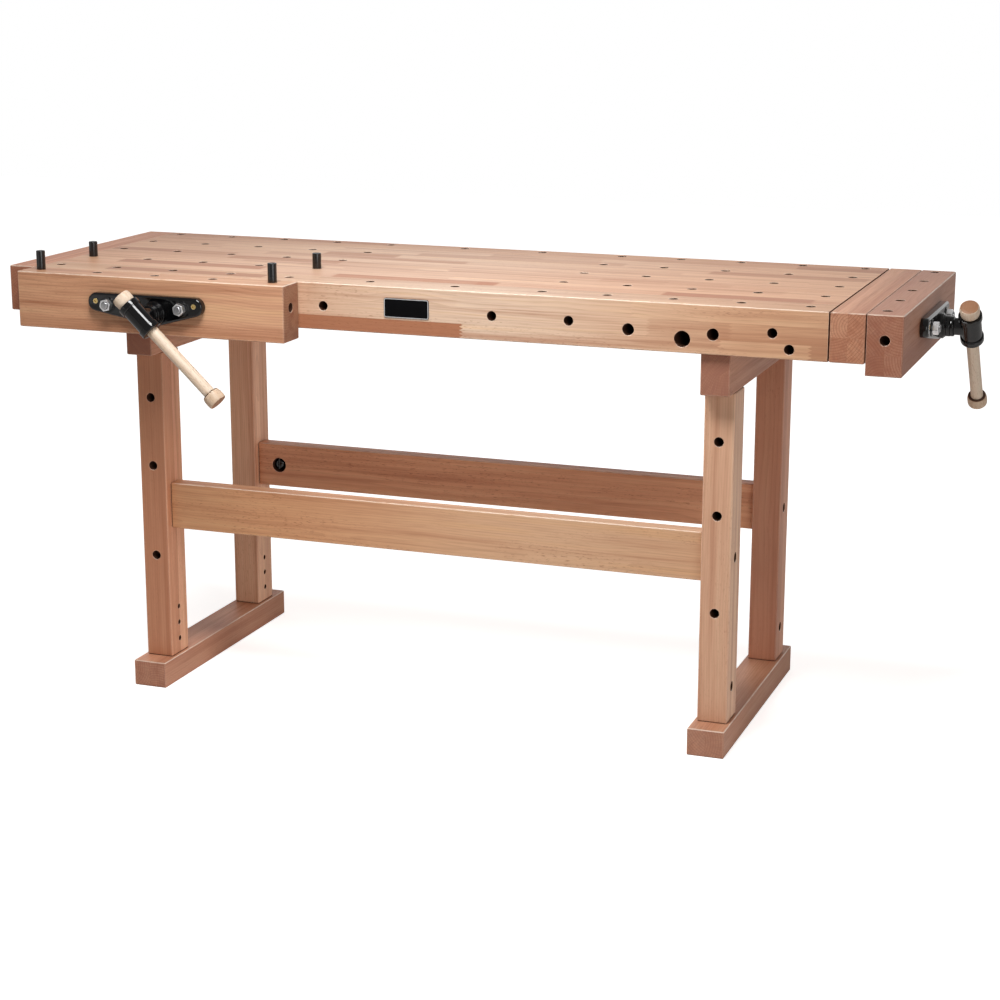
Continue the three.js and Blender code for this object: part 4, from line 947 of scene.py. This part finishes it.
for prefix, tilt in TILTS.items():
    base = vise_frame(prefix)
    jaw_body, screw_body, handle_body = (f"{prefix}_vise_{part}" for part in ("jaw", "screw", "handle"))
    new_piece(f"{prefix}_casting_body", CASTING.copy(), jaw_body, ENAMEL, base,
              [f"{prefix}_casting"])
    for index, place in enumerate(WOOD_SCREWS):
        new_piece(f"{prefix}_casting_screw_{index + 1}", SCREW_HEAD.copy(), jaw_body, YELLOW_ZINC,
                  base @ shift(*place))
    on_screw = base @ shift(*SCREW_AT)
    new_piece(f"{prefix}_tee_hub", hub_mesh(tilt), screw_body, ENAMEL, on_screw,
              [f"{prefix}_hub"])

    # Screw and rods run inward, so their own Z points to the bench
    inward = base.to_3x3() @ Vector((0, 0, -1))
    low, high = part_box(f"{prefix}_screw")
    screw_start = -(HUB_REACH - HUB_BORE - HUB_WALL)
    screw_end = screw_start + max(high - low) / MM
    low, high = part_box(f"{prefix}_jaw")
    thread_start = min(high - low) / MM - SCREW_SHANK
    new_piece(f"{prefix}_threaded_screw", thread_mesh(screw_start, screw_end, thread_start), screw_body,
              STEEL, axis_matrix(on_screw.translation, inward), [f"{prefix}_screw"])
    low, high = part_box(f"{prefix}_guide_rod_near")
    seat = CAST_FACE + PAD_HEIGHT + SEAM
    tip = -(seat + NUT_TALL + STUD_PAST)
    rod_end = tip + max(high - low) / MM
    for side, at in (("near", -ROD_HALF), ("far", ROD_HALF)):
        on_rod = base @ shift(at)
        new_piece(f"{prefix}_rod_{side}", rod_mesh(tip, rod_end), jaw_body, STEEL,
                  axis_matrix(on_rod.translation, inward), [f"{prefix}_guide_rod_{side}"])
        turn = Matrix.Rotation(math.radians(NUT_TURNS[side]), 4, "Z")
        new_piece(f"{prefix}_nut_{side}", nut_mesh(seat), jaw_body, ZINC, on_rod @ turn,
                  [f"{prefix}_rod_nut_{side}"])

    on_hub = (on_screw @ shift(0, 0, HUB_REACH)).translation
    grip = axis_matrix(on_hub, base.to_3x3() @ handle_direction(tilt))
    for name, mesh, material, slot, node in (
            ("handle_turned", handle_bar_mesh(), HANDLE, "pale_beech", "handle_bar"),
            ("handle_cap", handle_knob_mesh(), HANDLE, "pale_beech", "handle_knob"),
            ("handle_washer", washer_mesh(), LEATHER_AND_SHADE, "rubber", "handle_buffer")):
        new_piece(f"{prefix}_{name}", mesh, handle_body, material, grip, [f"{prefix}_{node}"])

for dog in ("jaw_dog_left", "jaw_dog_right", "top_dog_left", "top_dog_right"):
    low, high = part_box(dog)
    place = Matrix.Translation(((low.x + high.x) / 2, (low.y + high.y) / 2, 0))
    new_piece(f"{dog}_turned", dog_mesh(low.z / MM, high.z / MM), f"{dog}_body", SATIN, place,
              [dog])


# The bare name plate with its thin bright rim, in metres
PLATE_CORNER = 0.005
PLATE_EASE = 0.0005
RIM_INSET = 0.0007
RIM_WIDTH = 0.0013
RIM_HEIGHT = 0.0002
RIM_GAP = 0.00002
CORNER_STEPS = 8
plate_low, plate_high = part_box("name_plate")
plate_thick = plate_high.y - plate_low.y


def plate_mesh(name, levels, capped):
    """A mesh through rounded rectangles of the plate, one for each (inset, lift off the plate's back)."""
    left, right = plate_low.x + PLATE_CORNER, plate_high.x - PLATE_CORNER
    foot, head = plate_low.z + PLATE_CORNER, plate_high.z - PLATE_CORNER
    rings = []
    for inset, lift in levels:
        radius = PLATE_CORNER - inset
        ring = []
        for x, z, start in ((right, head, 0), (left, head, 90), (left, foot, 180), (right, foot, 270)):
            for step in range(CORNER_STEPS + 1):
                turn = math.radians(start + 90 * step / CORNER_STEPS)
                ring.append((x + radius * math.cos(turn), plate_high.y - lift, z + radius * math.sin(turn)))
        rings.append(ring)
    return smooth_by_angle(ring_mesh(name, rings, capped), degrees=50)


new_piece("bare_plate", plate_mesh("bare_plate", [
    (0.0, 0.0), (0.0, plate_thick - PLATE_EASE), (0.00015, plate_thick - 0.00015),
    (PLATE_EASE, plate_thick),
], True), "bench", PLATE_BLACK, replaces=["name_plate"])
rim_low, rim_high, rim_inner = plate_thick + RIM_GAP, plate_thick + RIM_HEIGHT, RIM_INSET + RIM_WIDTH
new_piece("bare_plate_rim", plate_mesh("bare_plate_rim", [
    (RIM_INSET, rim_low), (RIM_INSET, rim_high), (rim_inner, rim_high), (rim_inner, rim_low),
], False), "bench", ALUMINIUM)


# Round holes with eased mouths in the wood, in millimetres from the bench's left end, front and floor
ORIGIN = Vector((left_low.x, left_low.y, 0))
LENGTH = (right_high.x - left_low.x) / MM
TOP = apron_high.z / MM
APRON_FOOT = apron_low.z / MM
SLAB_FOOT = slab_low.z / MM
JAW_FOOT = jaw_low.z / MM
DOG_HOLE = 19.0
DOG_PITCH = 132.5
DOG_GROUP = 5
DOG_COLUMNS = [94 + DOG_PITCH * step for step in range(DOG_GROUP)]
FAR_COLUMNS = [1166 + DOG_PITCH * step for step in range(DOG_GROUP)]
SHORT_COLUMNS = [802, 984]
DOG_ROWS = [51 + DOG_PITCH * step for step in range(DOG_GROUP)]
FULL_COLUMNS = DOG_COLUMNS + FAR_COLUMNS
ALL_COLUMNS = FULL_COLUMNS + SHORT_COLUMNS
APRON_PEGS = ((721, 46), (1079.5, 46), (1237, 46), (1636, 46), (1668.7, 75.4))
APRON_PEG_DEPTH = 60.02
SPARE_DEPTH = 70.02
ROD_HOLE, SCREW_HOLE = 23, 31
ROD_DROP, SCREW_DROP = 55.5, 67.5
FRONT_MIDDLE, SPARE_MIDDLE, TAIL_MIDDLE = 363.5, 1439.5, 302.5
JAW_INSET, JAW_END_DROP, JAW_END_DEPTH, SHALLOW_DOG = 28.0, 47.5, 28.52, 41.52
LEG_PEGS = (282, 479, 626.5)
LEG_PEG_DEPTH = 50.02
BOLT_LEVELS = (390, 124)
BOLT_SINK = (20, 16.02)
BOLT_HOLE = 10.6
DOWEL_HOLE = (10.6, 22.32)
DOWEL_SPREAD = 36
POCKET = (33.0, 30.32)
POCKET_INSET = 52
UP, FRONT, RIGHT = Vector((0, 0, 1)), Vector((0, -1, 0)), Vector((1, 0, 0))
PAST = 2                    # how far a cutter stands out of the wood
WIDER, MARGIN = 1.004, 0.02     # a cutter takes in the facets of the solid's hole
WELD_GAP = 0.000005         # corners of a solid closer than this become one


def bore(mouth, outward, steps, through=False, ease=0.6):
    """A cutter for a round hole with an eased mouth. steps lists (diameter, depth) from the mouth inward.

    Faces that lean, as the eased mouths do, are left flat shaded, which marks them as plain wood.
    """
    radius = steps[0][0] / 2 * WIDER + MARGIN
    profile = [(0, PAST), (radius + ease + PAST, PAST), (radius, -ease)]
    for diameter, depth in steps:
        radius = diameter / 2 * WIDER + MARGIN
        if profile[-1][0] != radius:
            profile.append((radius, profile[-1][1]))
        profile.append((radius, -depth))
    if through:
        end = -depth - PAST
        profile[-1] = (radius, ease - depth)
        profile += [(radius + ease + PAST, end), (0, end)]
    else:
        profile.append((0, -depth))
    mesh = lathe_mesh("bore", profile, segments=FINE_ROUND)
    for face in mesh.polygons:
        face.use_smooth = not 0.1 < abs(face.normal.z) < 0.9
    return moved(mesh, axis_matrix(ORIGIN + Vector(mouth) * MM, outward))


def vise_bores(place, outward, depth, through):
    """Two rod holes and a screw hole. place turns a distance across and a level into a point."""
    holes = [(across, ROD_DROP, ROD_HOLE) for across in (-ROD_HALF, ROD_HALF)]
    holes.append((SCREW_AT[0], SCREW_DROP, SCREW_HOLE))
    return [
        bore(place(across, TOP - drop), outward, [(wide, depth)], through) for across, drop, wide in holes]


def dog_bores(places, depth):
    return [bore((x, y, TOP), UP, [(DOG_HOLE, depth)], True) for x, y in places]


def recut(node, body, cutters):
    """The CAD piece with its faceted holes bored round, as a piece that takes its place."""
    build = bmesh.new()
    build.from_mesh(NODES[node].data)
    bmesh.ops.remove_doubles(build, verts=build.verts, dist=WELD_GAP)
    blank = to_mesh(f"{node}_blank", build)
    dress(blank, wood[node])
    build = bmesh.new()
    for cutter in cutters:
        build.from_mesh(cutter)
    tool = to_mesh(f"{node}_tool", build)
    # The straight walls of the holes take the dark hole material, painted shade; the eased mouths stay wood
    dress(tool, wood[node], HOLE_WALL_SHADE)
    for face in tool.polygons:
        face.material_index = 1 if face.use_smooth else 0
    piece = smooth_by_angle(boolean(blank, [tool], "DIFFERENCE"), degrees=30)
    new_piece(f"{node}_bored", piece, body, None, replaces=[node])


recut("top_slab", "bench", dog_bores(
    [(x, y) for x in FULL_COLUMNS for y in DOG_ROWS[1:-1]], TOP - SLAB_FOOT))
recut("rear_apron", "bench", dog_bores([(x, DOG_ROWS[-1]) for x in ALL_COLUMNS], TOP - APRON_FOOT))
apron_thick = (apron_high.y - apron_low.y) / MM
recut("front_apron", "bench", [
    *dog_bores([(x, DOG_ROWS[0]) for x in ALL_COLUMNS], TOP - APRON_FOOT),
    *[bore((x, 0, TOP - drop), FRONT, [(DOG_HOLE, APRON_PEG_DEPTH)]) for x, drop in APRON_PEGS],
    *vise_bores(lambda across, z: (FRONT_MIDDLE + across, 0, z), FRONT, apron_thick, True),
    *vise_bores(lambda across, z: (SPARE_MIDDLE + across, 0, z), FRONT, SPARE_DEPTH, False),
])
cap_thick = (right_high.x - right_low.x) / MM
recut("right_end_cap", "bench", vise_bores(
    lambda across, z: (LENGTH, TAIL_MIDDLE + across, z), RIGHT, cap_thick, True))
jaw_row = (jaw_high.y - left_low.y) / MM - JAW_INSET
tail_row = (tail_low.x - left_low.x) / MM + JAW_INSET
jaw_end = (jaw_high.x - left_low.x) / MM
jaw_middle = ((jaw_low.y + jaw_high.y) / 2 - left_low.y) / MM
tail_middle = ((tail_low.x + tail_high.x) / 2 - left_low.x) / MM
recut("front_jaw", "front_vise_jaw", [
    *dog_bores([(x, jaw_row) for x in DOG_COLUMNS], TOP - JAW_FOOT),
    bore((jaw_end, jaw_middle, TOP - JAW_END_DROP), RIGHT, [(DOG_HOLE, JAW_END_DEPTH)]),
])
screw_row = DOG_ROWS[2]
recut("tail_jaw", "tail_vise_jaw", [
    *dog_bores([(tail_row, y) for y in DOG_ROWS if y != screw_row], TOP - JAW_FOOT),
    bore((tail_row, screw_row, TOP), UP, [(DOG_HOLE, SHALLOW_DOG)]),
    bore((tail_middle, 0, TOP - JAW_END_DROP), FRONT, [(DOG_HOLE, JAW_END_DEPTH)]),
])

for side, outward in (("left", -RIGHT), ("right", RIGHT)):
    for row in ("front", "rear"):
        low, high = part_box(f"{side}_{row}_leg")
        middle = ((low + high) / 2 - ORIGIN) / MM
        wide = (high.x - low.x) / MM
        outer = middle.x + outward.x * wide / 2
        inner = middle.x - outward.x * wide / 2
        upper, lower = BOLT_LEVELS
        cutters = [
            bore((outer, middle.y, upper), outward, [BOLT_SINK], ease=0.8),
            bore((outer, middle.y, lower), outward, [BOLT_SINK, (BOLT_HOLE, wide)], True, ease=0.8)]
        for level in (lower - DOWEL_SPREAD, lower + DOWEL_SPREAD):
            cutters.append(bore((inner, middle.y, level), -outward, [DOWEL_HOLE], ease=0.5))
        if row == "front":
            face = (low.y - left_low.y) / MM
            for level in LEG_PEGS:
                cutters.append(bore((middle.x, face, level), FRONT, [(DOG_HOLE, LEG_PEG_DEPTH)]))
        recut(f"{side}_{row}_leg", "bench", cutters)

for row, inside in (("front", -FRONT), ("rear", FRONT)):
    low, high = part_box(f"{row}_stretcher")
    face = ((high.y if inside.y > 0 else low.y) - left_low.y) / MM
    start = (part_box(f"left_{row}_leg")[1].x - left_low.x) / MM + SEAM + POCKET_INSET
    end = (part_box(f"right_{row}_leg")[0].x - left_low.x) / MM - SEAM - POCKET_INSET
    recut(f"{row}_stretcher", "bench", [
        bore((x, face, BOLT_LEVELS[0]), inside, [POCKET], ease=0.5) for x in (start, end)])


# Barrel nuts and bolts of the stretchers, in millimetres
BARREL_RADIUS, BARREL_THREAD, BARREL_CUT = 12.5, 5.3, 20
BARREL_SLOT = (4, 40, 6)
BOLT_HEAD, BOLT_HEAD_TALL, BOLT_SHANK, BOLT_SOCKET = 8.5, 8, 5, 8.0


def barrel_nut_mesh(tall):
    """A barrel nut along +Z with a domed, slotted end and a threaded hole across."""
    body = lathe_mesh("barrel_nut", [
        (0, 0), (BARREL_RADIUS, 0), (BARREL_RADIUS, tall - 4.0), (BARREL_RADIUS - 4.0, tall - 1.0),
        (0, tall),
    ], {1: 0.8, 2: 3.0, 3: 9.0})
    groove = bmesh.new()
    bmesh.ops.create_cube(groove, size=1.0)
    bmesh.ops.scale(groove, verts=groove.verts, vec=Vector(BARREL_SLOT) * MM)
    bmesh.ops.translate(groove, verts=groove.verts, vec=(0, 0, tall * MM))
    across = plug_mesh("barrel_thread", BARREL_THREAD, -BARREL_CUT, BARREL_CUT, segments=COARSE_ROUND)
    moved(across, axis_matrix((0, 0, tall / 2 * MM), RIGHT))
    return smooth_by_angle(boolean(body, [to_mesh("barrel_slot", groove), across], "DIFFERENCE"))


def bolt_mesh(length):
    """A cap screw along +Z in millimetres from the top of its head."""
    body = lathe_mesh("cap_screw", [
        (0, 0), (BOLT_HEAD, 0), (BOLT_HEAD, BOLT_HEAD_TALL), (BOLT_SHANK, BOLT_HEAD_TALL),
        (BOLT_SHANK, length - 1), (BOLT_SHANK - 1, length), (0, length),
    ], {1: 0.8})
    return smooth_by_angle(boolean(body, [hexagon_mesh(BOLT_SOCKET, -2.0, 4.0)], "DIFFERENCE"))


for side, inward in (("left", RIGHT), ("right", -RIGHT)):
    for row, inside in (("front", -FRONT), ("rear", FRONT)):
        node = f"{side}_{row}_barrel_nut"
        low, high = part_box(node)
        place = middle_of(node) - inside * (high.y - low.y) / 2
        new_piece(f"{node}_turned", barrel_nut_mesh((high.y - low.y) / MM), "bench", OXIDE,
                  axis_matrix(place, inside), [node])
        node = f"{side}_{row}_stretcher_bolt"
        low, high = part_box(node)
        place = middle_of(node) - inward * (high.x - low.x) / 2
        new_piece(f"{node}_turned", bolt_mesh((high.x - low.x) / MM), "bench", ZINC,
                  axis_matrix(place, inward), [node])


# Stage: floor, light and camera
ROOM_LIGHT = 0.06
ROOM_COLOR = rgb(1.0, 0.76, 0.58)
SCREEN_LIGHT = 0.95
FLOOR_COLOR = rgb(0.86, 0.84, 0.82)
FLOOR_HALF = 9.0
FLOOR_GLOW = 0.76
GLOSS_SHARE = 0.25
# Where the floor under the bench begins to brighten and is white, from the middle in metres
FLOOR_FADE_X = (0.75, 1.25)
FLOOR_FADE_Y = (0.38, 0.75)
# Name, place and target from the bench's left front corner, size, power and spread of each lamp
LAMPS = (
    ("key", (1.00, -0.98, 2.47), (1.00, 0.10, 0.70), (0.9, 0.7), 21.0, 115),
    ("fill", (5.4, -4.4, 1.5), (1.2, 0.2, 0.5), (3.2, 2.8), 60.0, 150),
    ("low_fill", (-1.6, -2.1, 1.0), (1.2, 0.2, 0.5), (1.6, 1.4), 2.5, 150),
)


def white_share(g):
    """1 for the camera and a lesser share for reflections, which see the white room dimly."""
    rays = ("Camera", "Glossy", "Transmission")
    camera, glossy, clear = (g.add("ShaderNodeLightPath", output=f"Is {ray} Ray") for ray in rays)
    return g.math("MAXIMUM", camera, g.math("MAXIMUM", glossy, clear) * GLOSS_SHARE)


def floor():
    """A pale floor that takes the bench's shadow and fades to white away from it."""
    half = FLOOR_HALF
    mesh = bpy.data.meshes.new("floor")
    corners = [(-half, -half, 0), (half, -half, 0), (half, half, 0), (-half, half, 0)]
    mesh.from_pydata(corners, [], [(0, 1, 2, 3)])
    obj = bpy.data.objects.new("floor", mesh)
    bpy.context.scene.collection.objects.link(obj)
    g = new_graph("studio_floor")
    x, y, _ = g.separate(g.place)
    past_x = g.span(g.math("ABSOLUTE", x), *FLOOR_FADE_X)
    past_y = g.span(g.math("ABSOLUTE", y), *FLOOR_FADE_Y)
    strength = white_share(g) * g.span(g.math("MAXIMUM", past_x, past_y), 0.0, 1.0, FLOOR_GLOW, 1.0)
    glow = g.add("ShaderNodeEmission", {"Color": WHITE, "Strength": strength})
    diffuse = g.add("ShaderNodeBsdfDiffuse", {"Color": FLOOR_COLOR})
    both = g.add("ShaderNodeAddShader", enumerate((diffuse, glow)))
    dress(mesh, g.surface(both, "ShaderNodeOutputMaterial"))


def backdrop():
    """White to the camera and dimly so to polished surfaces. The light on the bench comes from a warm room
    with a bright backdrop behind the bench."""
    world = bpy.data.worlds.new("studio")
    bpy.context.scene.world = world
    g = Graph(world)
    _, back, height = g.separate(g.add("ShaderNodeTexCoord", output="Generated"))
    share = g.span(back, 0.10, 0.55, kind="LINEAR") * g.span(height, 0.75, 0.45, kind="LINEAR")
    room, screen, white = (
        g.add("ShaderNodeBackground", {"Color": color, "Strength": strength})
        for color, strength in ((ROOM_COLOR, ROOM_LIGHT), (WHITE, SCREEN_LIGHT), (WHITE, 1.0)))
    light = g.add("ShaderNodeMixShader", enumerate((share, room, screen)))
    seen = g.add("ShaderNodeMixShader", enumerate((white_share(g), light, white)))
    g.surface(seen, "ShaderNodeOutputWorld")


def area_light(name, place, target, size, power, spread):
    data = bpy.data.lights.new(name, "AREA")
    data.shape = "RECTANGLE"
    data.size, data.size_y = size
    data.energy = power
    data.spread = math.radians(spread)
    lamp = bpy.data.objects.new(name, data)
    bpy.context.scene.collection.objects.link(lamp)
    lamp.location = ORIGIN + Vector(place)
    lamp.rotation_mode = "QUATERNION"
    lamp.rotation_quaternion = (Vector(target) - Vector(place)).to_track_quat("-Z", "Y")


floor()
backdrop()
for lamp in LAMPS:
    area_light(*lamp)

scene = bpy.context.scene
scene.view_settings.view_transform = "Standard"
lens = bpy.data.cameras.new("camera")
lens.sensor_width = SENSOR_MM
lens.lens = CAMERA_FOCAL_PX / IMAGE_PX * SENSOR_MM
lens.clip_start, lens.clip_end = 0.05, 60.0
camera = bpy.data.objects.new("camera", lens)
scene.collection.objects.link(camera)
yaw, pitch = math.radians(CAMERA_YAW), math.radians(CAMERA_PITCH)
forward = Vector((-math.sin(yaw) * math.cos(pitch), math.cos(yaw) * math.cos(pitch), math.sin(pitch)))
camera.rotation_mode = "QUATERNION"
camera.rotation_quaternion = (
    forward.to_track_quat("-Z", "Y") @ Matrix.Rotation(math.radians(CAMERA_ROLL), 3, "Z").to_quaternion())
camera.location = ORIGIN + Vector(CAMERA_PLACE_MM) * MM
scene.camera = camera
